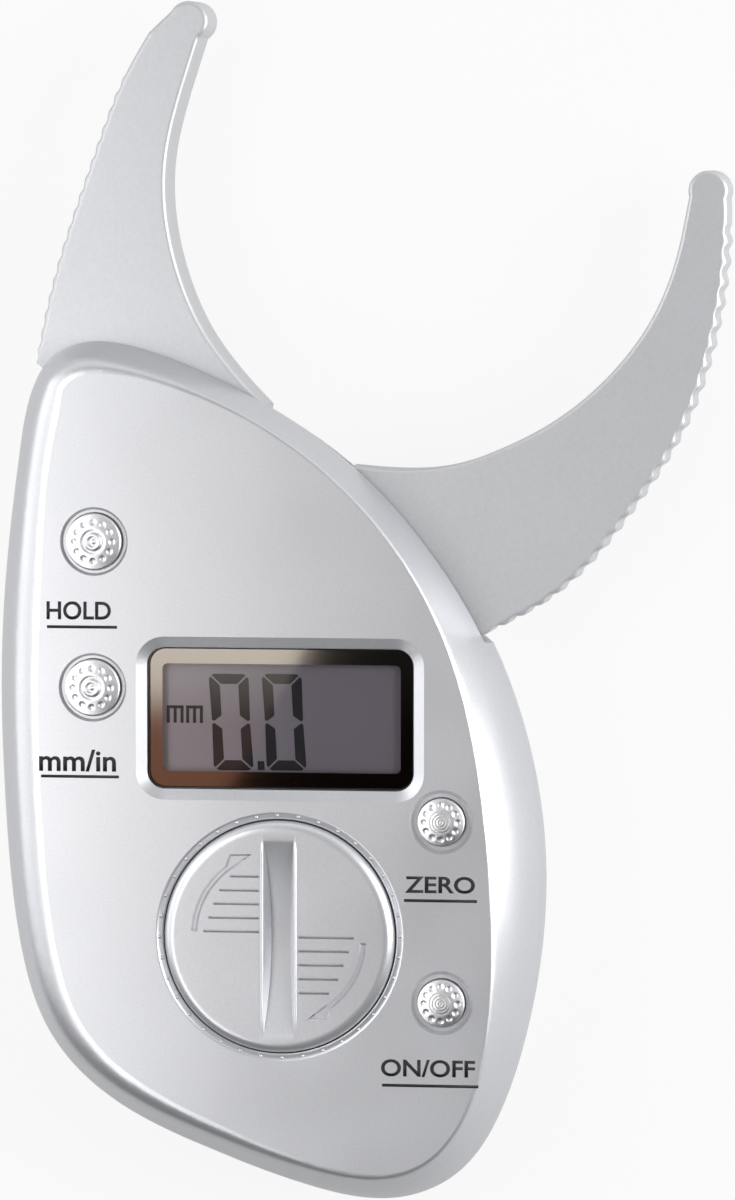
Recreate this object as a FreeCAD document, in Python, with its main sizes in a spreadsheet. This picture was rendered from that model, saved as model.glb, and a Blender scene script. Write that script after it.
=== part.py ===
import FreeCAD, Part
import math
import os

import Sketcher
from FreeCAD import Placement, Rotation, Vector

# Digital skinfold caliper, in millimetres. The origin is the moving jaw's pivot axis where it meets
# the flat back of the case. +X is to the right of the display, +Y towards the jaws, +Z out of the face.

doc = FreeCAD.newDocument("SkinfoldCaliper")
UP = Vector(0, 0, 1)


# ---------------------------------------------------------------------------------------------
# Driving sizes
# ---------------------------------------------------------------------------------------------

SIZES = [
    # case
    ("case_width", 62.0, "widest part of the case"),
    ("case_length", 97.0, "case from its bottom tip to its top edge"),
    ("case_depth", 22.0, "back face to front face"),
    ("parting_height", 11.0, "plane where the two shells meet"),
    ("case_wall", 1.8, "side wall of both shells"),
    ("face_wall", 2.0, "front wall"),
    ("floor_wall", 1.8, "back wall"),
    ("back_shoulder", 3.2, "how far the back face lies inside the outline"),
    ("back_rounding", 1.0, "rounded rim of the back face"),
    ("parting_step", 0.1, "rear shell stands back this much at the parting line"),
    # jaws
    ("jaw_base", 7.5, "underside of the jaws"),
    ("jaw_thickness", 7.0, "thickness of the jaws"),
    ("slot_gap", 0.3, "gap above and below a jaw where it leaves the case"),
    ("tooth_height", 0.5, "valley to crest of the toothed edges"),
    ("tip_diameter", 4.5, "rounded contact tip"),
    ("slot_start_angle", -21.0, "jaw slot, right-hand end, about the pivot"),
    ("slot_end_angle", 143.0, "jaw slot, left-hand end, about the pivot"),
    ("slot_inner_radius", 9.4, "the slot is cut from here outwards"),
    ("hub_room", 16.5, "radius about the pivot that the fixed jaw keeps clear"),
    # pivot
    ("pin_diameter", 4.0, "pivot pin"),
    ("pin_length", 15.5, "pivot pin"),
    ("pin_foot", 3.0, "lower end of the pivot pin"),
    ("pin_seat_gap", 0.01, "radial, pin in the case"),
    ("pin_running_gap", 0.04, "radial, jaw on the pin"),
    ("hub_diameter", 18.0, "round root of the moving jaw"),
    ("hub_recess", 2.0, "hub top lies this far under the jaw's top"),
    ("neck_diameter", 9.0, "raised neck that carries the encoder rotor"),
    ("neck_height", 0.9, "neck above the hub top"),
    ("washer_diameter", 8.0, "friction washers"),
    ("washer_thickness", 0.4, "friction washers"),
    ("stack_gap", 0.1, "end float on each side of the jaw"),
    ("pivot_boss_diameter", 8.0, "bosses that hold the pin"),
    # return spring
    ("wire_diameter", 0.9, "return spring"),
    ("coil_diameter", 10.6, "return spring, middle of the wire"),
    ("coil_pitch", 1.25, "return spring"),
    ("coil_foot", 2.7, "return spring, middle of the lowest wire"),
    ("peg_diameter", 2.0, "pegs that hold the spring's legs"),
    ("peg_radius", 8.0, "pegs, from the pivot"),
    ("leg_gap", 0.05, "spring leg to its peg"),
    ("leg_length", 6.5, "straight legs of the spring"),
    ("coil_boss_gap", 0.85, "radial, coil round the rear pivot boss"),
    # encoder
    ("rotor_thickness", 0.8, "encoder rotor"),
    ("stator_thickness", 0.25, "encoder stator on the board"),
    ("stator_diameter", 18.0, "encoder stator"),
    ("stator_bore", 10.0, "encoder stator"),
    ("rotor_fit", 0.05, "radial, rotor on the neck"),
    ("rotor_track", 1.8, "width of the rotor's slotted track"),
    ("rotor_screw_circle", 14.0, "circle of the rotor screws"),
    ("rotor_screw_diameter", 1.0, "rotor screws"),
    ("rotor_screw_length", 3.0, "rotor screws"),
    ("rotor_head_diameter", 2.0, "rotor screws"),
    ("rotor_head_height", 0.5, "rotor screws"),
    # display window
    ("window_x", -1.35, "middle of the window"),
    ("window_y", -16.3, "middle of the window"),
    ("lens_width", 30.1, "display lens"),
    ("lens_length", 15.9, "display lens"),
    ("lens_corner", 2.0, "display lens"),
    ("lens_thickness", 0.9, "display lens"),
    ("lens_gap", 0.05, "lens in its pocket, each side"),
    ("tape_thickness", 0.15, "tape frame under the lens"),
    ("bevel_width", 1.2, "sloped frame round the lens"),
    ("bevel_depth", 0.5, "sloped frame round the lens"),
    ("aperture_width", 27.6, "hole under the lens"),
    ("aperture_length", 13.0, "hole under the lens"),
    # liquid-crystal display
    ("glass_width", 29.6, "display glass"),
    ("glass_length", 15.0, "display glass"),
    ("glass_thickness", 1.8, "display glass"),
    ("glass_lip", 0.35, "lip of the display frame over the glass"),
    ("frame_wall", 1.0, "side wall of the display frame"),
    ("frame_corner", 1.5, "display frame"),
    ("frame_gap", 0.1, "display frame round the glass"),
    ("frame_opening_margin", 0.4, "opening of the display frame beyond the hole under the lens"),
    ("frame_top_gap", 0.15, "display frame to the front wall"),
    ("zebra_width", 1.8, "rubber connectors"),
    ("zebra_length", 26.0, "rubber connectors"),
    ("zebra_offset", 6.0, "rubber connectors, from the middle of the window"),
    # main board
    ("board_bottom", 14.9, "underside of the main board"),
    ("board_thickness", 1.2, "main board"),
    ("board_margin", 3.8, "board edge inside the case outline"),
    ("board_top_edge", 11.5, "straight upper edge of the board"),
    ("board_hole_gap", 0.5, "bosses through the board, radial"),
    ("chip_side", 6.0, "controller chip"),
    ("chip_height", 1.1, "controller chip"),
    # buttons
    ("left_cap_diameter", 6.3, "hold and unit buttons"),
    ("right_cap_diameter", 5.3, "zero and power buttons"),
    ("left_dish_diameter", 7.7, "shallow dish round the left buttons"),
    ("right_dish_diameter", 7.2, "shallow dish round the right buttons"),
    ("dish_depth", 0.45, "shallow dish round a button"),
    ("cap_gap", 0.12, "radial, button in its hole"),
    ("cap_proud", 0.45, "button rim above the face"),
    ("cap_crown", 0.35, "middle of the button above its rim"),
    ("flange_overlap", 0.9, "button flange beyond the hole"),
    ("flange_thickness", 0.8, "button flange"),
    ("flange_gap", 0.1, "flange under the front wall"),
    ("stem_diameter", 2.6, "button stem"),
    ("dimple_diameter", 0.95, "ball-shaped dimples on the button"),
    ("left_dimple_circle", 4.3, "circle of dimples, left buttons"),
    ("right_dimple_circle", 3.8, "circle of dimples, right buttons"),
    ("switch_side", 4.5, "tact switch body"),
    ("switch_height", 2.0, "tact switch body"),
    ("plunger_diameter", 2.0, "tact switch plunger"),
    ("plunger_gap", 0.1, "radial, plunger in its switch"),
    ("plunger_proud", 0.6, "plunger above the switch body"),
    # battery
    ("battery_x", -1.4, "middle of the battery bay"),
    ("battery_y", -40.65, "middle of the battery bay"),
    ("cell_diameter", 20.0, "coin cell"),
    ("cell_thickness", 3.2, "coin cell"),
    ("cell_lift", 0.65, "cell above the board, on its contact"),
    ("bay_diameter", 24.2, "bore of the battery bay"),
    ("bay_wall", 2.3, "wall of the battery bay"),
    ("ring_diameter", 28.0, "recessed ring round the cover"),
    ("ring_depth", 0.5, "recessed ring round the cover"),
    ("cover_diameter", 26.0, "battery cover"),
    ("cover_proud", 0.6, "cover above the face"),
    ("cover_seat_gap", 0.05, "cover above the ring's floor"),
    ("cover_chamfer", 0.4, "cover rim"),
    ("cover_plate", 2.5, "cover thickness over the cell"),
    ("skirt_wall", 1.2, "cover skirt"),
    ("skirt_gap", 0.3, "radial, skirt in the bay"),
    ("skirt_depth", 3.15, "skirt below the cover's flange"),
    ("coin_slot_width", 3.0, "slot for the coin"),
    ("coin_slot_length", 21.9, "slot for the coin"),
    ("coin_slot_depth", 1.6, "slot for the coin"),
    ("slot_rim_width", 0.35, "raised rim round the coin slot"),
    ("slot_rim_height", 0.15, "raised rim round the coin slot"),
    ("mark_depth", 0.15, "engraved turn marks"),
    ("mark_width", 0.28, "engraved turn marks"),
    ("lug_width", 3.0, "bayonet lugs, along the rim"),
    ("lug_height", 1.2, "bayonet lugs"),
    ("lug_reach", 12.6, "bayonet lugs, from the cover's axis"),
    ("lug_gap", 0.2, "room round a lug in its groove"),
    ("cover_turn", 60.0, "turn that frees the cover, degrees"),
    ("cover_rise", 3.0, "how far the turn lifts the cover"),
    ("contact_strip", 0.2, "negative contact, thickness of the spring sheet"),
    ("contact_radius", 5.0, "negative contact"),
    ("clip_width", 5.0, "positive contact"),
    ("clip_thickness", 0.25, "positive contact"),
    ("clip_height", 2.1, "positive contact"),
    ("clip_foot", 1.5, "positive contact, foot on the board"),
    ("seal_wire", 0.6, "sealing ring, thickness"),
    ("seal_gap", 0.05, "sealing ring to its neighbours"),
    # screws
    ("case_boss_diameter", 5.6, "bosses of the case screws"),
    ("case_screw_diameter", 2.2, "case screws"),
    ("case_screw_length", 14.0, "case screws"),
    ("case_head_diameter", 4.0, "case screws"),
    ("case_head_height", 1.5, "case screws"),
    ("case_head_seat", 4.5, "depth of the seat under the head"),
    ("screw_gap", 0.2, "radial, screw in a clearance hole"),
    ("thread_gap", 0.02, "radial, screw in its own thread"),
    ("boss_gap", 0.05, "a boss to what it clamps"),
    ("post_diameter", 4.6, "posts under the board"),
    ("board_screw_diameter", 1.9, "board screws"),
    ("board_screw_length", 6.0, "board screws"),
    ("board_head_diameter", 3.6, "board screws"),
    ("board_head_height", 1.2, "board screws"),
    ("recess_width", 0.5, "cross recess of the screws"),
]


class Size:
    """A length or angle that carries both its value and the sheet formula that gives it."""

    def __init__(self, value, text=None):
        self.value = float(value)
        self.text = text if text else repr(float(value))
        self.fixed = text is None

    def _join(self, other, sign, value):
        joined = Size(value, f"({self.text} {sign} {other.text})")
        joined.fixed = self.fixed and other.fixed
        return joined

    def __add__(self, other):
        other = as_size(other)
        return self._join(other, "+", self.value + other.value)

    def __sub__(self, other):
        other = as_size(other)
        return self._join(other, "-", self.value - other.value)

    def __mul__(self, other):
        other = as_size(other)
        return self._join(other, "*", self.value * other.value)

    def __truediv__(self, other):
        other = as_size(other)
        return self._join(other, "/", self.value / other.value)

    def __neg__(self):
        return as_size(0) - self

    def __radd__(self, other):
        return as_size(other) + self

    def __rsub__(self, other):
        return as_size(other) - self

    def __rmul__(self, other):
        return as_size(other) * self


def as_size(number):
    return number if isinstance(number, Size) else Size(number)


class Sizes:
    """The driving sizes, each read as a named value of the sheet."""


sheet = doc.addObject("Spreadsheet::Sheet", "Sizes")
dim = Sizes()
for row, (alias, number, note) in enumerate(SIZES, start=1):
    sheet.set(f"A{row}", note)
    sheet.set(f"B{row}", str(number))
    sheet.setAlias(f"B{row}", alias)
    setattr(dim, alias, Size(number, f"Sizes.{alias}"))
doc.recompute()

jaw_top = dim.jaw_base + dim.jaw_thickness
board_top = dim.board_bottom + dim.board_thickness
ceiling = dim.case_depth - dim.face_wall
hub_top = jaw_top - dim.hub_recess
neck_top = hub_top + dim.neck_height
lens_top = dim.case_depth - dim.bevel_depth
lens_bottom = lens_top - dim.lens_thickness
tape_bottom = lens_bottom - dim.tape_thickness
frame_top = ceiling - dim.frame_top_gap
glass_top = frame_top - dim.glass_lip
glass_bottom = glass_top - dim.glass_thickness
glass_shelf = glass_bottom + dim.glass_thickness / 2
switch_top = board_top + dim.switch_height
plunger_top = switch_top + dim.plunger_proud
ring_floor = dim.case_depth - dim.ring_depth
cover_top = dim.case_depth + dim.cover_proud
cover_under = ring_floor + dim.cover_seat_gap
skirt_radius = dim.bay_diameter / 2 - dim.skirt_gap
skirt_foot = cover_under - dim.skirt_depth
cell_bottom = board_top + dim.cell_lift


# ---------------------------------------------------------------------------------------------
# Small building functions
# ---------------------------------------------------------------------------------------------


def bind(thing, prop, length):
    """Gives a property its value and, where a driving size stands behind it, its formula."""
    length = as_size(length)
    thing.setExpression(prop, length.text)


def move_to(thing, x, y, z):
    for letter, length in zip("xyz", (x, y, z)):
        bind(thing, f"Placement.Base.{letter}", length)


def cylinder(name, x, y, z, radius, height):
    piece = doc.addObject("Part::Cylinder", name)
    bind(piece, "Radius", radius)
    bind(piece, "Height", height)
    move_to(piece, x, y, z)
    return piece


def tube(name, x, y, z, outer, inner, height):
    return cut(
        name,
        cylinder(f"{name}_outside", x, y, z, outer, height),
        cylinder(f"{name}_inside", x, y, z - 1, inner, height + 2),
    )


def ball(name, x, y, z, radius):
    piece = doc.addObject("Part::Sphere", name)
    bind(piece, "Radius", radius)
    move_to(piece, x, y, z)
    return piece


def block(name, x, y, z, width, length, height):
    """A box given by the middle of its base."""
    piece = doc.addObject("Part::Box", name)
    bind(piece, "Length", width)
    bind(piece, "Width", length)
    bind(piece, "Height", height)
    move_to(piece, x - as_size(width) / 2, y - as_size(length) / 2, z)
    return piece


def fuse(name, pieces):
    joined = doc.addObject("Part::MultiFuse", name)
    joined.Shapes = pieces
    return joined


def group(name, pieces):
    """Separate solids that make one node."""
    together = doc.addObject("Part::Compound", name)
    together.Links = pieces
    return together


def cut(name, base, tool):
    left = doc.addObject("Part::Cut", name)
    left.Base = base
    left.Tool = tool
    return left


def cut_in_turn(name, base, tools):
    """Takes several tools away one after the other."""
    for k, tool in enumerate(tools):
        base = cut(f"{name}_{k}", base, tool)
    return base


def common(name, first, second):
    shared = doc.addObject("Part::Common", name)
    shared.Base = first
    shared.Tool = second
    return shared


def pin_down(sketch, edge, end, x, y):
    """Fixes a point of a sketch at a place given by driving sizes."""
    for kind, length in (("DistanceX", x), ("DistanceY", y)):
        length = as_size(length)
        index = sketch.addConstraint(Sketcher.Constraint(kind, -1, 1, edge, end, length.value))
        if not length.fixed:
            sketch.setExpression(f"Constraints[{index}]", length.text)


def draw_circle(sketch, x, y, radius):
    x, y, radius = as_size(x), as_size(y), as_size(radius)
    edge = sketch.addGeometry(Part.Circle(Vector(x.value, y.value, 0), UP, radius.value), False)
    pin_down(sketch, edge, 3, x, y)
    index = sketch.addConstraint(Sketcher.Constraint("Radius", edge, radius.value))
    sketch.setExpression(f"Constraints[{index}]", radius.text)


def draw_polygon(sketch, corners):
    """A closed outline; every side's start is fixed and its end meets the next side."""
    corners = [(as_size(x), as_size(y)) for x, y in corners]
    spots = [Vector(x.value, y.value, 0) for x, y in corners]
    first = sketch.GeometryCount
    count = len(spots)
    for k in range(count):
        sketch.addGeometry(Part.LineSegment(spots[k], spots[(k + 1) % count]), False)
    for k in range(count):
        following = first + (k + 1) % count
        sketch.addConstraint(Sketcher.Constraint("Coincident", first + k, 2, following, 1))
    for k, (x, y) in enumerate(corners):
        pin_down(sketch, first + k, 1, x, y)


def draw_rounded_rectangle(sketch, x, y, width, length, corner):
    """Four sides whose ends are fixed, joined by four corner arcs."""
    x, y, width, length, corner = (as_size(v) for v in (x, y, width, length, corner))
    right, top = x + width / 2, y + length / 2
    left, bottom = x - width / 2, y - length / 2
    sides = [
        ((left + corner, bottom), (right - corner, bottom)),
        ((right, bottom + corner), (right, top - corner)),
        ((right - corner, top), (left + corner, top)),
        ((left, top - corner), (left, bottom + corner)),
    ]
    centres = [
        (right - corner, bottom + corner),
        (right - corner, top - corner),
        (left + corner, top - corner),
        (left + corner, bottom + corner),
    ]
    first = sketch.GeometryCount
    for start, end in sides:
        a = Vector(start[0].value, start[1].value, 0)
        b = Vector(end[0].value, end[1].value, 0)
        edge = sketch.addGeometry(Part.LineSegment(a, b), False)
        pin_down(sketch, edge, 1, *start)
        pin_down(sketch, edge, 2, *end)
    for k, centre in enumerate(centres):
        middle = Vector(centre[0].value, centre[1].value, 0)
        circle = Part.Circle(middle, UP, corner.value)
        quarter = math.pi / 2
        arc = sketch.addGeometry(Part.ArcOfCircle(circle, (k - 1) * quarter, k * quarter), False)
        sketch.addConstraint(Sketcher.Constraint("Coincident", arc, 1, first + k, 2))
        sketch.addConstraint(Sketcher.Constraint("Coincident", arc, 2, first + (k + 1) % 4, 1))


def flat_sketch(name, height):
    """A free sketch that lies level at a height."""
    sketch = doc.addObject("Sketcher::SketchObject", name)
    bind(sketch, "Placement.Base.z", height)
    return sketch


def extrude(sketch, name, height):
    prism = doc.addObject("Part::Extrusion", name)
    prism.Base = sketch
    prism.DirMode = "Custom"
    prism.Dir = UP
    prism.Solid = True
    bind(prism, "LengthFwd", height)
    return prism


def loft(name, sketches):
    solid = doc.addObject("Part::Loft", name)
    solid.Sections = sketches
    solid.Solid = True
    solid.Ruled = False
    return solid


def rounded_prism(name, x, y, z, width, length, corner, height):
    sketch = flat_sketch(f"{name}_outline", z)
    draw_rounded_rectangle(sketch, x, y, width, length, corner)
    return extrude(sketch, name, height)


def turned(name, x, y, profile):
    """A solid of revolution about a vertical axis, from its (radius, height) profile."""
    sketch = doc.addObject("Sketcher::SketchObject", f"{name}_profile")
    sketch.Placement = Placement(Vector(0, 0, 0), Rotation(Vector(1, 0, 0), 90))
    draw_polygon(sketch, profile)
    solid = doc.addObject("Part::Revolution", name)
    solid.Source = sketch
    solid.Axis = UP
    solid.Base = Vector(0, 0, 0)
    solid.Angle = 360
    solid.Solid = True
    move_to(solid, x, y, 0)
    return solid


def turned_block(name, around, angle, inner, z, depth, width, height):
    """A box that reaches outwards from a radius, at an angle about a vertical axis."""
    piece = doc.addObject("Part::Box", name)
    depth, width, inner = as_size(depth), as_size(width), as_size(inner)
    bind(piece, "Length", depth)
    bind(piece, "Width", width)
    bind(piece, "Height", height)
    along, across = on_circle(1.0, angle), on_circle(1.0, angle + 90)
    piece.Placement = Placement(Vector(0, 0, 0), Rotation(UP, angle))
    move_to(
        piece,
        around[0] + inner * along.x - width / 2 * across.x,
        around[1] + inner * along.y - width / 2 * across.y,
        z,
    )
    return piece


def arc_band(name, around, start, sweep, z, inner, outer, height):
    """Part of a flat ring, from a start angle over a sweep."""
    rounds = []
    for kind, radius, foot, tall in (("outside", outer, z, height), ("inside", inner, z - 1, height + 2)):
        piece = cylinder(f"{name}_{kind}", *around, foot, radius, tall)
        if kind == "outside":
            piece.Angle = sweep
            piece.Placement.Rotation = Rotation(UP, start)
            move_to(piece, *around, foot)
        rounds.append(piece)
    return cut(name, *rounds)


def cross_head_screw(name, x, y, seat, length, radius, head_radius, head_height, side):
    """A screw whose shank points along side (1 is up) from its head's seat, with a cross recess."""
    profile = [(0, seat - side * head_height), (head_radius - 0.2, seat - side * head_height)]
    profile += [(head_radius, seat - side * (head_height - 0.2)), (head_radius, seat)]
    profile += [(radius, seat), (radius, seat + side * (length - 0.4))]
    profile += [(radius - 0.3, seat + side * length), (0, seat + side * length)]
    blank = turned(f"{name}_blank", x, y, profile)
    deep = head_height * 0.6
    foot = seat - side * head_height if side > 0 else seat + head_height - deep
    wide = head_radius * 1.2
    arms = [
        block(f"{name}_arm_0", x, y, foot, wide, dim.recess_width, deep),
        block(f"{name}_arm_1", x, y, foot, dim.recess_width, wide, deep),
    ]
    return cut(name, blank, fuse(f"{name}_recess", arms))


def body_pad(body, sketch, name, length, reverse=False):
    pad = body.newObject("PartDesign::Pad", name)
    pad.Profile = sketch
    pad.Reversed = reverse
    bind(pad, "Length", length)
    return pad


def origin_plane(body, role):
    return next(plane for plane in body.Origin.OriginFeatures if plane.Role == role)


def body_sketch(body, name, height):
    """A level sketch of a body, at a height above the body's XY plane."""
    sketch = body.newObject("Sketcher::SketchObject", name)
    sketch.AttachmentSupport = (origin_plane(body, "XY_Plane"), [""])
    sketch.MapMode = "FlatFace"
    bind(sketch, "AttachmentOffset.Base.z", height)
    return sketch


def pocket(body, sketch, name, depth):
    hole = body.newObject("PartDesign::Pocket", name)
    hole.Profile = sketch
    bind(hole, "Length", depth)
    return hole


def on_circle(radius, degrees):
    return Vector(radius * math.cos(math.radians(degrees)), radius * math.sin(math.radians(degrees)), 0)


nodes = []


def node(piece, label):
    """Gives a finished sub-part its name and puts it on the list that is written out."""
    piece.Label = label
    nodes.append(piece)
    return piece


# ---------------------------------------------------------------------------------------------
# Case outline
# ---------------------------------------------------------------------------------------------

# The case's outline at the parting plane, clockwise from its top left corner, as hundredths of the
# case's width and length from the pivot, each with the width of the front shoulder there and the
# radius that rounds the front face's edge.
CASE_OUTLINE = [
    (-48.65, 22.61, 2.9, 3.1),
    (-45.19, 25.07, 2.7, 2.7),
    (-39.41, 26.51, 2.5, 2.2),
    (-31.25, 26.08, 2.3, 1.5),
    (-18.34, 23.16, 1.86, 0.8),
    (-5.52, 19.07, 1.71, 0.5),
    (9.37, 12.45, 1.89, 0.4),
    (23.3, 2.89, 2.28, 0.4),
    (33.19, -6.88, 3.4, 0.4),
    (39.83, -17.46, 4.57, 0.4),
    (43.85, -30.92, 5.23, 0.4),
    (43.88, -41.19, 4.68, 0.4),
    (40.79, -53.56, 3.34, 0.4),
    (35.98, -63.05, 2.85, 0.4),
    (28.28, -70.32, 3.31, 0.5),
    (17.82, -73.34, 3.6, 0.8),
    (1.61, -72.24, 3.6, 1.4),
    (-17.81, -67.91, 3.6, 2.2),
    (-36.0, -62.03, 3.6, 3.2),
    (-46.93, -54.65, 3.5, 4.0),
    (-52.86, -42.82, 3.4, 4.3),
    (-55.27, -26.8, 3.4, 4.4),
    (-55.89, -12.35, 3.5, 4.4),
    (-54.44, 2.9, 3.3, 4.1),
    (-52.35, 13.47, 3.1, 3.6),
]


def outline_parameters():
    """Chord lengths along the outline: every section shares them, so that lofts stay clean."""
    width, length = dim.case_width.value, dim.case_length.value
    points = [Vector(x * width / 100, y * length / 100, 0) for x, y, _, _ in CASE_OUTLINE]
    reached = [0.0]
    for start, end in zip(points, points[1:] + points[:1]):
        reached.append(reached[-1] + start.distanceToPoint(end))
    return reached


def closed_curve(points):
    curve = Part.BSplineCurve()
    curve.interpolate(Points=points, PeriodicFlag=True, Parameters=outline_parameters())
    return curve


def case_points(inset, climbed=0.0):
    """The outline's points at a height of the front: moved in by an inset and the local shoulder."""
    width, length = dim.case_width.value, dim.case_length.value
    points = [Vector(x * width / 100, y * length / 100, 0) for x, y, _, _ in CASE_OUTLINE]
    curve = closed_curve(points)
    moved = []
    for point, (_, _, shoulder, edge_radius) in zip(points, CASE_OUTLINE):
        tangent = curve.tangent(curve.parameter(point))[0]
        inwards = Vector(tangent.y, -tangent.x, 0)
        moved.append(point + inwards * (inset.value + shoulder_inset(shoulder, edge_radius, climbed)))
    return moved


def shoulder_inset(shoulder, edge_radius, climbed):
    """How far the shoulder has come in at a share of its height: a parabola, then the edge's arc."""
    if climbed <= 0:
        return 0.0
    lean = math.atan(2 * shoulder / front_rise.value)
    reach = edge_radius * math.tan((math.pi / 2 - lean) / 2)
    below = front_rise.value * (1 - climbed)
    arc_drop = reach * math.cos(lean)
    if below >= arc_drop:
        return shoulder * climbed * climbed
    sink = edge_radius - below
    return shoulder + reach - math.sqrt(max(0.0, edge_radius**2 - sink**2))


def case_section(name, height, inset, climbed=0.0):
    """The moved outline, in pieces that meet at every fifth point."""
    sketch = flat_sketch(name, height)
    outline = closed_curve(case_points(as_size(inset), climbed))
    joints = outline_parameters()[::5]
    for start, end in zip(joints, joints[1:]):
        piece = outline.copy()
        piece.segment(start, end)
        sketch.addGeometry(piece, False)
    return sketch


front_rise = dim.case_depth - dim.parting_height


def front_form(name, inset, top, shares):
    """The front shell's rounded outer form, or its hollow, between the parting plane and a top."""
    sections = []
    for k, share in enumerate(shares):
        height = dim.parting_height + (top - dim.parting_height) * share
        climbed = (height.value - dim.parting_height.value) / front_rise.value
        sections.append(case_section(f"{name}_{k}", height, inset, climbed))
    return loft(name, sections)


def rear_form(name, inset, bottom, shares):
    sections = []
    for k, share in enumerate(shares):
        height = bottom + (dim.parting_height - bottom) * share
        sunk = 1 - height.value / dim.parting_height.value
        shoulder = dim.back_shoulder * (0.85 * sunk + 0.15 * sunk * sunk)
        sections.append(case_section(f"{name}_{k}", height, inset + shoulder))
    return loft(name, sections)


# ---------------------------------------------------------------------------------------------
# Places of screws, posts and buttons, from the pivot
# ---------------------------------------------------------------------------------------------

JAW_SCREWS = [(-25.6, 17.0), (-13.0, 17.4)]
SHELL_SCREWS = [(19.2, -17.5), (10.0, -63.6), (-23.2, -50.4)]
# a post beside the side wall moves in with the wall
POSTS = [(dim.case_wall - 30.0, -22.5), (19.4, -37.6), (dim.case_wall - 13.3, dim.case_wall - 62.0)]
LEFT_BUTTONS = {"hold": (-22.3, 3.4), "units": (-22.5, -12.95)}
RIGHT_BUTTONS = {"zero": (16.85, -27.55), "power": (16.85, -47.8)}

# the return spring hooks on one peg of the rear shell and one of the moving jaw
REAR_PEG_ANGLE = -125.0
JAW_PEG_ANGLE = 62.0
leg_reach = dim.coil_diameter / 2 + dim.peg_diameter / 2 + dim.wire_diameter / 2 + dim.leg_gap
leg_lean = math.degrees(math.acos(leg_reach.value / dim.peg_radius.value))
coil_start = REAR_PEG_ANGLE + leg_lean
coil_sweep = 720 + JAW_PEG_ANGLE - leg_lean - coil_start
coil_height = dim.coil_pitch * (coil_sweep / 360)

pin_radius = dim.pin_diameter / 2
boss_radius = dim.case_boss_diameter / 2
screw_radius = dim.case_screw_diameter / 2
front_pivot_foot = neck_top + dim.washer_thickness + 2 * dim.stack_gap
rear_pivot_top = dim.jaw_base - dim.washer_thickness - dim.stack_gap


def spring_peg_place(angle):
    """A peg's place on the circle of the return spring's pegs."""
    return (
        dim.peg_radius * math.cos(math.radians(angle)),
        dim.peg_radius * math.sin(math.radians(angle)),
    )


def jaw_slot(name, bottom, top):
    """The fan about the pivot that opens the case's edge for both jaws."""
    outer = dim.case_width.value + dim.case_length.value
    inner = dim.slot_inner_radius.value
    start, end = math.radians(dim.slot_start_angle.value), math.radians(dim.slot_end_angle.value)
    rim = Part.ArcOfCircle(Part.Circle(Vector(0, 0, 0), UP, outer), start, end)
    root = Part.ArcOfCircle(Part.Circle(Vector(0, 0, 0), UP, inner), start, end)
    sketch = flat_sketch(f"{name}_outline", bottom)
    sketch.addGeometry(rim, False)
    sketch.addGeometry(root, False)
    sketch.addGeometry(Part.LineSegment(root.StartPoint, rim.StartPoint), False)
    sketch.addGeometry(Part.LineSegment(root.EndPoint, rim.EndPoint), False)
    return extrude(sketch, name, top - bottom)


# ---------------------------------------------------------------------------------------------
# Front shell
# ---------------------------------------------------------------------------------------------


def bay_groove(name, start_angle):
    """One helical groove of the battery bay: the lug's path, a little larger all round."""
    reach = dim.lug_reach + dim.lug_gap
    depth = dim.lug_gap * 2 + dim.skirt_gap + 1.5
    steps = 12
    places = []
    for k in range(steps + 1):
        share = k / steps
        places.append(turned_block(
            f"{name}_{k}", (dim.battery_x, dim.battery_y), start_angle - dim.cover_turn.value * share,
            reach - depth, skirt_foot + dim.cover_rise * share - dim.lug_gap,
            depth, dim.lug_width + 2 * dim.lug_gap, dim.lug_height + 2 * dim.lug_gap,
        ))
    return fuse(name, places)


def button_hole(name, x, y, cap, dish):
    """The cutter of a button's hole and of the shallow dish round it."""
    hole = cap / 2 + dim.cap_gap
    inner = (hole + dish / 2) / 2
    floor = dim.case_depth - dim.dish_depth
    top = dim.case_depth + 1
    profile = [(0, ceiling - 1), (hole, ceiling - 1), (hole, floor), (inner, floor)]
    profile += [(dish / 2, dim.case_depth), (dish / 2, top), (0, top)]
    return turned(name, x, y, profile)


def bay_bore():
    """The cutter of the battery bay: bore, seat of the sealing ring and recessed ring."""
    bore = dim.bay_diameter / 2
    seal_room = skirt_radius + dim.seal_wire + 2 * dim.seal_gap
    seal_floor = ring_floor - dim.seal_wire - dim.seal_gap
    ring = dim.ring_diameter / 2
    top = dim.case_depth + 1
    profile = [(0, board_top), (bore, board_top), (bore, seal_floor), (seal_room, seal_floor)]
    profile += [(seal_room, ring_floor), (ring, ring_floor), (ring, top), (0, top)]
    return turned("bay_bore", dim.battery_x, dim.battery_y, profile)


def window_cutters():
    """Sloped frame, pocket for the lens and hole for the display, from the front inwards."""
    x, y = dim.window_x, dim.window_y
    low = flat_sketch("bevel_low", lens_top)
    draw_rounded_rectangle(low, x, y, dim.lens_width, dim.lens_length, dim.lens_corner)
    high = flat_sketch("bevel_high", dim.case_depth)
    wide, corner = 2 * dim.bevel_width, dim.lens_corner + dim.bevel_width
    draw_rounded_rectangle(high, x, y, dim.lens_width + wide, dim.lens_length + wide, corner)
    lens_pocket = rounded_prism(
        "lens_pocket", x, y, tape_bottom, dim.lens_width, dim.lens_length, dim.lens_corner,
        lens_top - tape_bottom,
    )
    aperture = block(
        "aperture", x, y, ceiling - 1, dim.aperture_width, dim.aperture_length, dim.face_wall
    )
    return [loft("bevel", [low, high]), lens_pocket, aperture]


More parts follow.
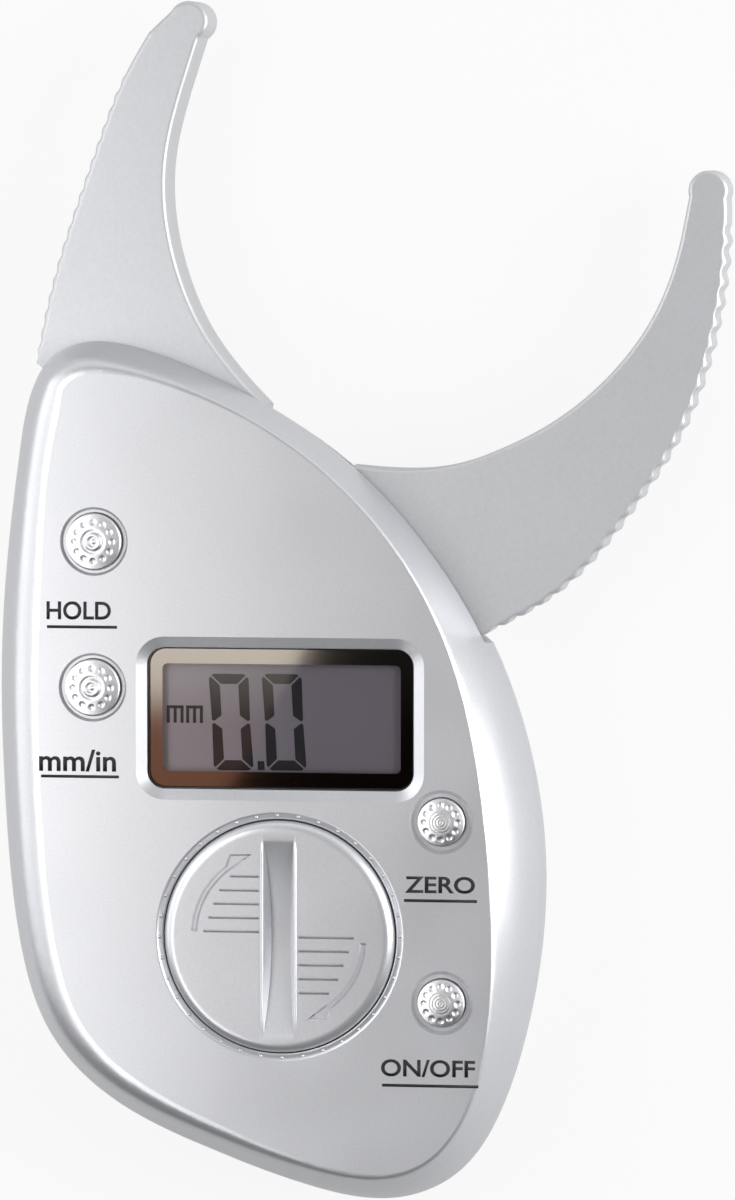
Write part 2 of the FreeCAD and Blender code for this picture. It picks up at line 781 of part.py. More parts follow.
def build_front_shell():
    shares = (0, 0.3, 0.6, 0.8, 0.92, 0.98, 1)
    form = front_form("front_form", as_size(0), dim.case_depth, shares)
    hollow = front_form("front_hollow", dim.case_wall, ceiling, (0, 0.5, 1))
    slot = jaw_slot("front_slot", dim.parting_height - 1, jaw_top + dim.slot_gap)
    skin = cut_in_turn("front_skin", form, [hollow, slot])
    core_top = dim.case_depth - dim.face_wall / 2
    core = front_form("front_core", dim.case_wall / 2, core_top, (0, 0.5, 1))

    bosses = []
    for k, (x, y) in enumerate(JAW_SCREWS):
        foot = jaw_top + dim.boss_gap
        bosses.append(cylinder(f"jaw_boss_{k}", x, y, foot, boss_radius, core_top - foot))
    for k, (x, y) in enumerate(SHELL_SCREWS):
        foot = dim.parting_height
        bosses.append(cylinder(f"shell_boss_{k}", x, y, foot, boss_radius, core_top - foot))
    pivot_tall = core_top - front_pivot_foot
    pivot_boss_radius = dim.pivot_boss_diameter / 2
    bosses.append(cylinder("pivot_boss", 0, 0, front_pivot_foot, pivot_boss_radius, pivot_tall))
    bay_foot = board_top + dim.boss_gap
    bay_radius = dim.bay_diameter / 2 + dim.bay_wall
    bx, by = dim.battery_x, dim.battery_y
    bosses.append(cylinder("bay", bx, by, bay_foot, bay_radius, core_top - bay_foot))
    inside = common("front_bosses", group("front_boss_forms", bosses), core)
    solid = fuse("front_solid", [skin, inside])

    holes = []
    thread_top = dim.case_head_seat + dim.case_screw_length + 1
    thread_foot = dim.parting_height - 1
    thread_radius = screw_radius + dim.thread_gap
    for k, (x, y) in enumerate(JAW_SCREWS + SHELL_SCREWS):
        tall = thread_top - thread_foot
        holes.append(cylinder(f"thread_{k}", x, y, thread_foot, thread_radius, tall))
    bore_top = dim.pin_foot + dim.pin_length + dim.boss_gap
    bore_foot = jaw_top + dim.slot_gap - 2
    bore_radius = pin_radius + dim.pin_seat_gap
    holes.append(cylinder("front_pin_bore", 0, 0, bore_foot, bore_radius, bore_top - bore_foot))
    for name, (x, y) in LEFT_BUTTONS.items():
        holes.append(button_hole(f"{name}_hole", x, y, dim.left_cap_diameter, dim.left_dish_diameter))
    for name, (x, y) in RIGHT_BUTTONS.items():
        holes.append(button_hole(f"{name}_hole", x, y, dim.right_cap_diameter, dim.right_dish_diameter))
    holes.append(bay_bore())
    grooves = [bay_groove(f"groove_{k}", 180 * k) for k in range(2)]
    return cut_in_turn("front_cut", solid, [*holes, *window_cutters(), *grooves])


node(build_front_shell(), "front_shell")


# ---------------------------------------------------------------------------------------------
# Rear shell
# ---------------------------------------------------------------------------------------------


def rounded_rim(name, base, level, radius):
    """Rounds the rim of a form where it ends in a level plane."""
    doc.recompute()
    fillet = doc.addObject("Part::Fillet", name)
    fillet.Base = base
    rim = []
    for k, edge in enumerate(base.Shape.Edges, start=1):
        box = edge.BoundBox
        if abs(box.ZMin - level) < 0.001 and abs(box.ZMax - level) < 0.001:
            rim.append((k, radius.value, radius.value))
    fillet.Edges = rim
    return fillet


def build_rear_shell():
    sharp_form = rear_form("rear_form", dim.parting_step, as_size(0), (0, 0.35, 0.7, 1))
    form = rounded_rim("rear_rounded", sharp_form, 0, dim.back_rounding)
    hollow = rear_form("rear_hollow", dim.case_wall, dim.floor_wall, (0, 0.5, 1))
    slot = jaw_slot("rear_slot", dim.jaw_base - dim.slot_gap, dim.parting_height + 1)
    skin = cut_in_turn("rear_skin", form, [hollow, slot])

    bosses = []
    for k, (x, y) in enumerate(JAW_SCREWS):
        bosses.append(cylinder(f"rear_jaw_boss_{k}", x, y, 0, boss_radius, dim.jaw_base))
    for k, (x, y) in enumerate(SHELL_SCREWS):
        tall = dim.parting_height - dim.boss_gap
        bosses.append(cylinder(f"rear_shell_boss_{k}", x, y, 0, boss_radius, tall))
    for k, (x, y) in enumerate(POSTS):
        bosses.append(cylinder(f"post_{k}", x, y, 0, dim.post_diameter / 2, dim.board_bottom))
    in_coil = dim.coil_diameter / 2 - dim.wire_diameter / 2 - dim.coil_boss_gap
    bosses.append(cylinder("rear_pivot_boss", 0, 0, 0, in_coil, rear_pivot_top))
    px, py = spring_peg_place(REAR_PEG_ANGLE)
    peg_top = dim.coil_foot + dim.wire_diameter
    bosses.append(cylinder("rear_peg", px, py, 0, dim.peg_diameter / 2, peg_top))
    low = common("rear_low_bosses", group("rear_boss_forms", bosses), case_column())
    solid = fuse("rear_solid", [skin, low])

    holes = []
    for k, (x, y) in enumerate(JAW_SCREWS + SHELL_SCREWS):
        seat = cylinder(
            f"head_room_{k}", x, y, -1, dim.case_head_diameter / 2 + dim.screw_gap,
            dim.case_head_seat + 1,
        )
        way = cylinder(
            f"screw_way_{k}", x, y, -1, screw_radius + dim.screw_gap, dim.parting_height + 2
        )
        holes += [seat, way]
    for k, (x, y) in enumerate(POSTS):
        foot = board_top - dim.board_screw_length - 1
        radius = dim.board_screw_diameter / 2 + dim.thread_gap
        holes.append(cylinder(f"post_thread_{k}", x, y, foot, radius, dim.board_screw_length + 2))
    bore_foot = dim.pin_foot - dim.boss_gap
    holes.append(
        cylinder("rear_pin_bore", 0, 0, bore_foot, pin_radius + dim.pin_seat_gap, dim.jaw_base)
    )
    return cut_in_turn("rear_cut", solid, holes)


def case_column():
    """The outline of the back face and shoulders, drawn up past the board: the bosses stay in it."""
    inner = case_section("column_low", as_size(0), dim.back_shoulder)
    return extrude(inner, "case_column", dim.case_depth)


node(build_rear_shell(), "rear_shell")


# ---------------------------------------------------------------------------------------------
# Jaws
# ---------------------------------------------------------------------------------------------

# Gripping edges as points that one smooth curve passes through, tip first.
FIXED_INNER = [(-13.4, 53.9), (-15.15, 46.8), (-15.3, 40.4), (-13.9, 33.5), (-11.0, 26.8), (-4.2, 18.4)]
FIXED_OUTER = [(-17.3, 60.2), (-20.1, 55.3), (-23.4, 47.0), (-26.9, 36.9), (-29.4, 27.5), (-30.2, 23.1)]
MOVING_INNER = [
    (43.3, 40.6), (42.2, 35.4), (39.4, 28.3), (34.7, 22.0), (28.6, 16.9), (21.8, 13.4), (16.4, 11.65),
    (10.7, 11.25), (5.4, 11.6),
]
MOVING_OUTER = [
    (47.85, 40.4), (47.5, 33.7), (46.4, 27.0), (43.2, 17.0), (37.1, 7.0), (27.9, -3.0), (20.4, -7.1),
]
FIXED_TIP = (-12.8, 61.45)
MOVING_TIP = (45.7, 42.5)
FIXED_TEETH = 17
MOVING_TEETH = 24
# share of the toothed edge that stays smooth at its tip end
FIXED_PLAIN = 0.14
MOVING_PLAIN = 0.03


def smooth_curve(points):
    curve = Part.BSplineCurve()
    curve.interpolate(Points=[Vector(x, y, 0) for x, y in points])
    return curve


def toothed_curve(points, teeth, plain):
    """A smooth edge with evenly spaced round teeth, after a plain stretch at its start."""
    base = smooth_curve(points)
    length = base.length()
    swing = dim.tooth_height.value / 2
    stations = 4 * teeth
    plain_stations = max(1, round(stations * plain / (1 - plain)))
    spots = []
    for k in range(-plain_stations, stations + 1):
        share = plain * (1 + k / plain_stations) if k < 0 else plain + (1 - plain) * k / stations
        at = base.parameterAtDistance(length * share, base.FirstParameter)
        tangent = base.tangent(at)[0]
        sideways = Vector(tangent.y, -tangent.x, 0)
        wave = 0.0 if k < 0 else math.sin(2 * math.pi * teeth * k / stations)
        spots.append(base.value(at) + sideways * swing * wave)
    curve = Part.BSplineCurve()
    curve.interpolate(Points=spots)
    return curve


def jaw_outline(sketch, inner, outer, centre, root, side):
    """Inner edge, round tip, toothed outer edge and a root of straight lines and arcs."""
    radius = dim.tip_diameter.value / 2
    middle = Vector(*centre, 0)
    inner_start = inner.value(inner.FirstParameter)
    outer_start = outer.value(outer.FirstParameter)
    touches = []
    for point, hand in ((inner_start, side), (outer_start, -side)):
        away = point - middle
        lean = math.acos(min(1.0, radius / away.Length))
        angle = math.atan2(away.y, away.x) + hand * lean
        touches.append(middle + Vector(math.cos(angle), math.sin(angle), 0) * radius)
    top = middle + (middle - (inner_start + outer_start) * 0.5).normalize() * radius
    sketch.addGeometry(inner, False)
    sketch.addGeometry(Part.LineSegment(inner_start, touches[0]), False)
    sketch.addGeometry(Part.Arc(touches[0], top, touches[1]), False)
    sketch.addGeometry(Part.LineSegment(touches[1], outer_start), False)
    sketch.addGeometry(outer, False)
    for edge in root(inner.value(inner.LastParameter), outer.value(outer.LastParameter)):
        sketch.addGeometry(edge, False)


def moving_root(inner_end, outer_end):
    """The hub circle, met by two straight flanks."""
    radius = dim.hub_diameter.value / 2
    upper, far, lower = (on_circle(radius, a) for a in (108.0, 190.0, 280.0))
    heel = on_circle(outer_end.Length - 5.0, dim.slot_start_angle.value + 1.2)
    return [
        Part.LineSegment(inner_end, upper),
        Part.Arc(upper, far, lower),
        Part.LineSegment(lower, heel),
        Part.LineSegment(heel, outer_end),
    ]


def fixed_root(inner_end, outer_end):
    """The part of the fixed jaw inside the case: it keeps clear of the hub and of the side wall."""
    radius = dim.hub_room.value
    upper, middle, lower = (on_circle(radius, a) for a in (106.0, 148.0, 186.0))
    wall_gap = dim.case_wall.value + 1.6
    wall = case_points(as_size(wall_gap))
    corner = on_circle(outer_end.Length - 3.2, dim.slot_end_angle.value - 0.3)
    foot_y = -6.0
    spots = [
        lower,
        Vector(lower.x - 1.5, foot_y, 0),
        Vector(wall[-2].x + 0.4, foot_y, 0),
        wall[-2],
        wall[-1],
        corner,
        outer_end,
    ]
    edges = [Part.LineSegment(inner_end, upper), Part.Arc(upper, middle, lower)]
    edges += [Part.LineSegment(a, b) for a, b in zip(spots, spots[1:])]
    return edges


def build_fixed_jaw():
    body = doc.addObject("PartDesign::Body", "FixedJaw")
    outline = body_sketch(body, "FixedJawOutline", dim.jaw_base)
    inner = smooth_curve(FIXED_INNER)
    outer = toothed_curve(FIXED_OUTER, FIXED_TEETH, FIXED_PLAIN)
    jaw_outline(outline, inner, outer, FIXED_TIP, fixed_root, 1)
    body_pad(body, outline, "FixedJawPlate", dim.jaw_thickness)
    holes = body_sketch(body, "FixedJawHoles", jaw_top)
    for x, y in JAW_SCREWS:
        draw_circle(holes, x, y, screw_radius + dim.screw_gap)
    pocket(body, holes, "FixedJawScrewHoles", dim.jaw_thickness)
    return body


fixed_jaw = node(build_fixed_jaw(), "fixed_jaw")


def build_moving_jaw():
    body = doc.addObject("PartDesign::Body", "MovingJaw")
    outline = body_sketch(body, "MovingJawOutline", dim.jaw_base)
    inner = smooth_curve(MOVING_INNER)
    outer = toothed_curve(MOVING_OUTER, MOVING_TEETH, MOVING_PLAIN)
    jaw_outline(outline, inner, outer, MOVING_TIP, moving_root, -1)
    body_pad(body, outline, "MovingJawPlate", dim.jaw_thickness)
    hub_radius = dim.hub_diameter / 2 + 0.6
    recess = body_sketch(body, "HubRecess", jaw_top)
    draw_circle(recess, 0, 0, hub_radius)
    pocket(body, recess, "HubRecessCut", jaw_top - neck_top)
    step = body_sketch(body, "NeckStep", neck_top)
    draw_circle(step, 0, 0, hub_radius)
    draw_circle(step, 0, 0, dim.neck_diameter / 2)
    pocket(body, step, "NeckStepCut", dim.neck_height)
    peg = body_sketch(body, "SpringPeg", dim.jaw_base)
    draw_circle(peg, *spring_peg_place(JAW_PEG_ANGLE), dim.peg_diameter / 2)
    peg_drop = dim.jaw_base - dim.coil_foot - coil_height + dim.wire_diameter
    body_pad(body, peg, "SpringPegPad", peg_drop, reverse=True)
    bore = body_sketch(body, "PivotBore", neck_top)
    draw_circle(bore, 0, 0, pin_radius + dim.pin_running_gap)
    pocket(body, bore, "PivotBoreCut", neck_top - dim.jaw_base)
    threads = body_sketch(body, "RotorThreads", hub_top)
    for side in (-1, 1):
        radius = dim.rotor_screw_diameter / 2 + dim.thread_gap
        draw_circle(threads, dim.rotor_screw_circle / 2 * side, 0, radius)
    pocket(body, threads, "RotorThreadsCut", dim.rotor_screw_length)
    return body


moving_jaw = node(build_moving_jaw(), "moving_jaw")


# ---------------------------------------------------------------------------------------------
# Pivot: pin, washers and return spring
# ---------------------------------------------------------------------------------------------


def build_pin():
    foot, top = dim.pin_foot, dim.pin_foot + dim.pin_length
    bevel = 0.3
    profile = [(0, foot), (pin_radius - bevel, foot), (pin_radius, foot + bevel)]
    profile += [(pin_radius, top - bevel), (pin_radius - bevel, top), (0, top)]
    return turned("pin", 0, 0, profile)


def washer(name, foot):
    inner = pin_radius + dim.pin_running_gap
    return tube(name, 0, 0, foot, dim.washer_diameter / 2, inner, dim.washer_thickness)


node(build_pin(), "pivot_pin")
node(washer("low_washer", rear_pivot_top), "lower_washer")
node(washer("high_washer", neck_top + dim.stack_gap), "upper_washer")


def spring_leg(name, angle, z, side):
    """A straight leg that leaves the coil along its tangent, a hair thinner than the coil's wire."""
    start_back = 0.25
    tangent = on_circle(1.0, angle + 90 * side)
    radial = on_circle(1.0, angle)
    radius = dim.coil_diameter / 2
    leg = doc.addObject("Part::Cylinder", name)
    bind(leg, "Radius", dim.wire_diameter / 2 - 0.015)
    bind(leg, "Height", dim.leg_length + start_back)
    leg.Placement = Placement(Vector(0, 0, 0), Rotation(UP, tangent))
    move_to(
        leg, radius * radial.x - start_back * tangent.x, radius * radial.y - start_back * tangent.y, z
    )
    return leg


def build_return_spring():
    helix = doc.addObject("Part::Helix", "coil_path")
    bind(helix, "Pitch", dim.coil_pitch)
    bind(helix, "Height", coil_height)
    bind(helix, "Radius", dim.coil_diameter / 2)
    helix.Placement = Placement(Vector(0, 0, 0), Rotation(UP, coil_start))
    move_to(helix, 0, 0, dim.coil_foot)
    wire = doc.addObject("Sketcher::SketchObject", "wire_section")
    draw_circle(wire, 0, 0, dim.wire_diameter / 2)
    section_turn = Rotation(Vector(1, 0, 0), 90)
    wire.Placement = Placement(Vector(0, 0, 0), Rotation(UP, coil_start) * section_turn)
    radial = on_circle(1.0, coil_start)
    radius = dim.coil_diameter / 2
    move_to(wire, radius * radial.x, radius * radial.y, dim.coil_foot)
    coil = doc.addObject("Part::Sweep", "coil")
    coil.Sections = [wire]
    coil.Spine = (helix, ["Edge1"])
    coil.Solid = True
    coil.Frenet = True
    low = spring_leg("low_leg", coil_start, dim.coil_foot, -1)
    high = spring_leg("high_leg", coil_start + coil_sweep, dim.coil_foot + coil_height, 1)
    return fuse("spring", [coil, low, high])


node(build_return_spring(), "return_spring")


# ---------------------------------------------------------------------------------------------
# Encoder: rotor on the jaw's hub, stator under the board
# ---------------------------------------------------------------------------------------------


def build_rotor():
    outer, inner = dim.hub_diameter / 2, dim.neck_diameter / 2 + dim.rotor_fit
    ring = tube("rotor_ring", 0, 0, hub_top, outer, inner, dim.rotor_thickness)
    tools = []
    for k in range(24):
        tools.append(turned_block(
            f"rotor_slot_{k}", (as_size(0), as_size(0)), 15 * k + 7.5, outer - dim.rotor_track / 2,
            hub_top + dim.rotor_thickness / 2, dim.rotor_track, 0.9, dim.rotor_thickness,
        ))
    for side in (-1, 1):
        radius = dim.rotor_screw_diameter / 2 + dim.screw_gap / 2
        x = dim.rotor_screw_circle / 2 * side
        tools.append(cylinder(f"rotor_hole_{side + 1}", x, 0, hub_top - 1, radius, 3))
    return cut("rotor", ring, group("rotor_tools", tools))


def build_rotor_screws():
    screws = []
    for side in (-1, 1):
        screws.append(cross_head_screw(
            f"rotor_screw_{side + 1}", dim.rotor_screw_circle / 2 * side, 0,
            hub_top + dim.rotor_thickness, dim.rotor_screw_length, dim.rotor_screw_diameter / 2,
            dim.rotor_head_diameter / 2, dim.rotor_head_height, -1,
        ))
    return group("rotor_screw_pair", screws)


node(build_rotor(), "encoder_rotor")
node(build_rotor_screws(), "rotor_screws")
node(
    tube(
        "stator", 0, 0, dim.board_bottom - dim.stator_thickness, dim.stator_diameter / 2,
        dim.stator_bore / 2, dim.stator_thickness,
    ),
    "encoder_stator",
)


# ---------------------------------------------------------------------------------------------
# Display
# ---------------------------------------------------------------------------------------------


def build_lens():
    smaller = 2 * dim.lens_gap
    return rounded_prism(
        "lens", dim.window_x, dim.window_y, lens_bottom, dim.lens_width - smaller,
        dim.lens_length - smaller, dim.lens_corner - dim.lens_gap, dim.lens_thickness,
    )


def build_tape():
    x, y, smaller = dim.window_x, dim.window_y, 6 * dim.lens_gap
    sheet_form = rounded_prism(
        "tape_sheet", x, y, tape_bottom, dim.lens_width - smaller, dim.lens_length - smaller,
        dim.lens_corner - dim.lens_gap, dim.tape_thickness,
    )
    opening = block("tape_opening", x, y, tape_bottom - 1, dim.aperture_width, dim.aperture_length, 2)
    return cut("tape", sheet_form, opening)


def build_glass():
    x, y = dim.window_x, dim.window_y
    half = dim.glass_thickness / 2
    rear_length = 2 * dim.zebra_offset - dim.zebra_width - 4 * dim.frame_gap
    rear = block("rear_glass", x, y, glass_bottom, dim.glass_width, rear_length, half)
    front = block("front_glass", x, y, glass_shelf, dim.glass_width, dim.glass_length, half)
    return fuse("glass", [rear, front])


def build_display_frame():
    x, y = dim.window_x, dim.window_y
    room = 2 * dim.frame_gap
    wall = room + 2 * dim.frame_wall
    outside = rounded_prism(
        "frame_form", x, y, board_top, dim.glass_width + wall, dim.glass_length + wall,
        dim.frame_corner, frame_top - board_top,
    )
    inside = block(
        "frame_room", x, y, board_top - 1, dim.glass_width + room, dim.glass_length + room,
        glass_top - board_top + 1,
    )
    margin = 2 * dim.frame_opening_margin
    opening = block(
        "frame_opening", x, y, glass_top - 1, dim.aperture_width + margin,
        dim.aperture_length + margin, 3,
    )
    return cut("frame", outside, fuse("frame_cutters", [inside, opening]))


def build_zebra():
    strips = []
    for side in (-1, 1):
        y = dim.window_y + dim.zebra_offset * side
        strips.append(block(
            f"zebra_{side + 1}", dim.window_x, y, board_top, dim.zebra_length, dim.zebra_width,
            glass_shelf - board_top,
        ))
    return group("zebra_pair", strips)


node(build_lens(), "display_lens")
node(build_tape(), "lens_tape")
node(build_glass(), "lcd_panel")
node(build_display_frame(), "lcd_frame")
node(build_zebra(), "zebra_strips")


# ---------------------------------------------------------------------------------------------
# Main board and what is soldered to it
# ---------------------------------------------------------------------------------------------

# the way out of the board's edge that clears each boss of the front shell
NOTCH_ANGLES = [0.0, -90.0, -135.0]


def build_board():
    plate = extrude(
        case_section("board_outline", dim.board_bottom, dim.board_margin), "board_plate",
        dim.board_thickness,
    )
    far = dim.case_length
    below = block(
        "board_side", 0, dim.board_top_edge - far / 2, dim.board_bottom - 1, far, far,
        dim.board_thickness + 2,
    )
    foot, tall = dim.board_bottom - 1, dim.board_thickness + 2
    tools = [
        cylinder(
            "board_pivot_hole", 0, 0, foot, dim.pivot_boss_diameter / 2 + dim.board_hole_gap, tall
        )
    ]
    room = boss_radius + dim.board_hole_gap
    for k, ((x, y), angle) in enumerate(zip(SHELL_SCREWS, NOTCH_ANGLES)):
        tools.append(cylinder(f"board_boss_hole_{k}", x, y, foot, room, tall))
        tools.append(turned_block(
            f"board_notch_{k}", (as_size(x), as_size(y)), angle, 0, foot, 9.0, room * 2, tall
        ))
    for k, (x, y) in enumerate(POSTS):
        radius = dim.board_screw_diameter / 2 + dim.screw_gap
        tools.append(cylinder(f"board_screw_hole_{k}", x, y, foot, radius, tall))
    return cut("board", common("board_blank", plate, below), fuse("board_tools", tools))


def build_chip():
    x, y = dim.window_x, dim.window_y
    lift, lead_thick, lead_length = 0.1, 0.15, 0.8
    pieces = [block("chip_body", x, y, board_top + lift, dim.chip_side, dim.chip_side, dim.chip_height)]
    for side in range(4):
        for k in range(6):
            across = (k - 2.5) * 0.85
            turn = 90 * side
            along, sideways = on_circle(1.0, turn), on_circle(1.0, turn + 90)
            reach = dim.chip_side / 2 + lead_length / 2 - 0.1
            lead_x = x + reach * along.x + across * sideways.x
            lead_y = y + reach * along.y + across * sideways.y
            wide, long = (lead_length, 0.35) if side % 2 == 0 else (0.35, lead_length)
            pieces.append(
                block(f"lead_{side}_{k}", lead_x, lead_y, board_top, wide, long, lead_thick)
            )
    return fuse("chip", pieces)


# small parts on the board: place, width, length, height
SMALL_PARTS = [
    (-24.6, -30.2, 3.2, 1.6, 1.2),
    (-20.6, -30.2, 2.0, 1.2, 0.8),
    (-24.9, -33.6, 2.0, 1.2, 0.8),
    (-21.4, -33.6, 2.0, 1.2, 0.8),
    (-25.0, -37.0, 2.0, 1.2, 0.6),
    (-21.6, -37.0, 2.0, 1.2, 0.6),
    (-24.4, -41.2, 3.2, 5.0, 1.4),
    (17.0, -57.0, 3.2, 1.6, 1.2),
    (0.0, -60.5, 2.0, 1.2, 0.8),
    (3.4, -60.5, 2.0, 1.2, 0.8),
]


def build_small_parts():
    pieces = []
    for k, (x, y, width, length, height) in enumerate(SMALL_PARTS):
        pieces.append(block(f"small_part_{k}", x, y, board_top, width, length, height))
    top = board_top + 2.9
    profile = [(0, board_top), (1.5, board_top), (1.5, top - 0.3), (1.2, top), (0, top)]
    crystal = turned("crystal", 19.0, -33.0, profile)
    return group("small_parts", [*pieces, crystal])


def build_switches():
    switches = []
    for name, (x, y) in {**LEFT_BUTTONS, **RIGHT_BUTTONS}.items():
        body = block(
            f"{name}_switch_body", x, y, board_top, dim.switch_side, dim.switch_side, dim.switch_height
        )
        well_foot = board_top + 0.05
        radius = dim.plunger_diameter / 2 + dim.plunger_gap
        well = cylinder(f"{name}_switch_well", x, y, well_foot, radius, dim.switch_height)
        switches.append(cut(f"{name}_switch", body, well))
    return group("switches", switches)


def build_plunger(name, x, y):
    foot = board_top + dim.plunger_proud
    return cylinder(f"{name}_rod", x, y, foot, dim.plunger_diameter / 2, plunger_top - foot)


node(build_board(), "main_board")
node(build_chip(), "controller_chip")
node(build_small_parts(), "board_components")
node(build_switches(), "tact_switches")


# ---------------------------------------------------------------------------------------------
# Buttons, each on the plunger of its switch
# ---------------------------------------------------------------------------------------------


def build_button(name, x, y, cap, dimple_circle):
    """Stem, flange that keeps it in the case, cap with a crown, a ring of dimples and two rings."""
    radius = cap / 2
    hole = radius + dim.cap_gap
    flange_top = ceiling - dim.flange_gap
    flange_foot = flange_top - dim.flange_thickness
    rim = dim.case_depth + dim.cap_proud
    crown_top = rim + dim.cap_crown
    stem = dim.stem_diameter / 2
    profile = [(0, plunger_top), (stem, plunger_top), (stem, flange_foot)]
    profile += [(hole + dim.flange_overlap, flange_foot), (hole + dim.flange_overlap, flange_top)]
    profile += [(radius, flange_top), (radius, crown_top), (0, crown_top)]
    blank = turned(f"{name}_blank", x, y, profile)
    edge = radius.value - 0.2
    drop = dim.cap_crown.value
    crown_radius = (edge * edge + drop * drop) / (2 * drop)
    crown = ball(f"{name}_crown", x, y, crown_top - crown_radius, crown_radius)
    domed = common(f"{name}_domed", blank, crown)
    tools = []
    for k in range(12):
        spot = on_circle(1.0, 30 * k)
        reach = dimple_circle / 2
        level = crown_top.value - reach.value**2 / (2 * crown_radius)
        tools.append(ball(
            f"{name}_dimple_{k}", x + reach * spot.x, y + reach * spot.y, level + 0.15,
            dim.dimple_diameter / 2,
        ))
    for kind, share in (("outer", 0.62), ("inner", 0.33)):
        middle = dimple_circle / 2 * share
        level = crown_top.value - middle.value**2 / (2 * crown_radius)
        tools.append(tube(f"{name}_{kind}_ring", x, y, level - 0.12, middle + 0.12, middle - 0.12, 1))
    return cut(f"{name}_cut", domed, group(f"{name}_tools", tools))


for button_name, (button_x, button_y) in LEFT_BUTTONS.items():
    node(
        build_button(
            button_name, button_x, button_y, dim.left_cap_diameter, dim.left_dimple_circle
        ),
        f"{button_name}_button",
    )
for button_name, (button_x, button_y) in RIGHT_BUTTONS.items():
    node(
        build_button(
            button_name, button_x, button_y, dim.right_cap_diameter, dim.right_dimple_circle
        ),
        f"{button_name}_button",
    )
for button_name, (button_x, button_y) in {**LEFT_BUTTONS, **RIGHT_BUTTONS}.items():
    node(build_plunger(button_name, button_x, button_y), f"{button_name}_plunger")


# ---------------------------------------------------------------------------------------------
# Battery, its contacts, seal and cover
# ---------------------------------------------------------------------------------------------

BATTERY = (dim.battery_x, dim.battery_y)


def build_cell():
    radius = dim.cell_diameter / 2
    foot, top = cell_bottom, cell_bottom + dim.cell_thickness
    profile = [(0, foot), (radius - 1.6, foot), (radius - 1.4, foot + 0.3), (radius - 0.3, foot + 0.3)]
    profile += [(radius, foot + 0.6), (radius, top - 0.2), (radius - 0.2, top), (0, top)]
    return turned("cell", *BATTERY, profile)


def build_negative_contact():
    """A dished spring sheet between the board and the cell."""
    foot, crest = board_top, cell_bottom - 0.02
    sheet, wide = dim.contact_strip, dim.contact_radius
    profile = [(0, crest - sheet), (1.9, crest - sheet), (wide - 0.2, foot), (wide, foot)]
    profile += [(wide, foot + sheet), (2, crest), (0, crest)]
    return turned("negative_sheet", *BATTERY, profile)


def build_positive_contact():
    side = dim.cell_diameter / 2 + 0.05
    angle = 200.0
    tab = turned_block(
        "clip_tab", BATTERY, angle, side, board_top, dim.clip_thickness, dim.clip_width,
        dim.clip_height,
    )
    foot = turned_block(
        "clip_sole", BATTERY, angle, side, board_top, dim.clip_foot, dim.clip_width,
        dim.clip_thickness,
    )
    return fuse("clip", [tab, foot])


node(build_cell(), "battery_cell")
node(build_negative_contact(), "battery_negative_contact")
node(build_positive_contact(), "battery_positive_contact")


def build_seal():
    ring = doc.addObject("Part::Torus", "seal_ring")
    bind(ring, "Radius2", dim.seal_wire / 2)
    bind(ring, "Radius1", skirt_radius + dim.seal_gap + dim.seal_wire / 2)
    move_to(ring, *BATTERY, ring_floor - dim.seal_wire / 2)
    return ring


# turn marks beside the coin slot: height above the middle, start and end of each engraved line
MARK_LINES = [(6.9, -5.44), (5.36, -6.5), (3.77, -7.2), (2.26, -7.74), (0.66, -8.26)]
MARK_LINE_END = -2.47
MARK_ARC = (113.0, 177.0)
MARK_ARC_RADII = (9.4, 9.9)


def mark_cutters(turn):
    """One group of lines with a double-line arrow; the other group is the same, half a turn on."""
    floor = cover_top - dim.mark_depth
    hand = math.cos(math.radians(turn))
    tools = []
    for k, (level, start) in enumerate(MARK_LINES):
        middle = (start + MARK_LINE_END) / 2
        tools.append(block(
            f"mark_{turn}_{k}", dim.battery_x + hand * middle, dim.battery_y + hand * level, floor,
            MARK_LINE_END - start, dim.mark_width, 1,
        ))
    sweep = MARK_ARC[1] - MARK_ARC[0]
    for k, radius in enumerate(MARK_ARC_RADII):
        tools.append(arc_band(
            f"mark_arc_{turn}_{k}", BATTERY, MARK_ARC[0] + turn, sweep, floor,
            radius - dim.mark_width / 2, radius + dim.mark_width / 2, 1,
        ))
    arrow = flat_sketch(f"arrow_{turn}_outline", floor)
    corners = [(8.75, MARK_ARC[0]), (9.65, MARK_ARC[0] - 7.0), (10.55, MARK_ARC[0])]
    spots = []
    for radius, angle in corners:
        spot = on_circle(radius, angle + turn)
        spots.append((dim.battery_x + spot.x, dim.battery_y + spot.y))
    draw_polygon(arrow, spots)
    tools.append(extrude(arrow, f"arrow_{turn}", 1))
    return tools


def coin_slot(name, width, length, depth):
    """A disc-shaped cutter that leaves a slot with a hollow floor."""
    radius = (length.value**2 / 4 + depth.value**2) / (2 * depth.value)
    disc = doc.addObject("Part::Cylinder", name)
    bind(disc, "Radius", radius)
    bind(disc, "Height", width)
    disc.Placement = Placement(Vector(0, 0, 0), Rotation(Vector(0, 1, 0), 90))
    move_to(disc, dim.battery_x - width / 2, dim.battery_y, cover_top - depth + radius)
    return disc


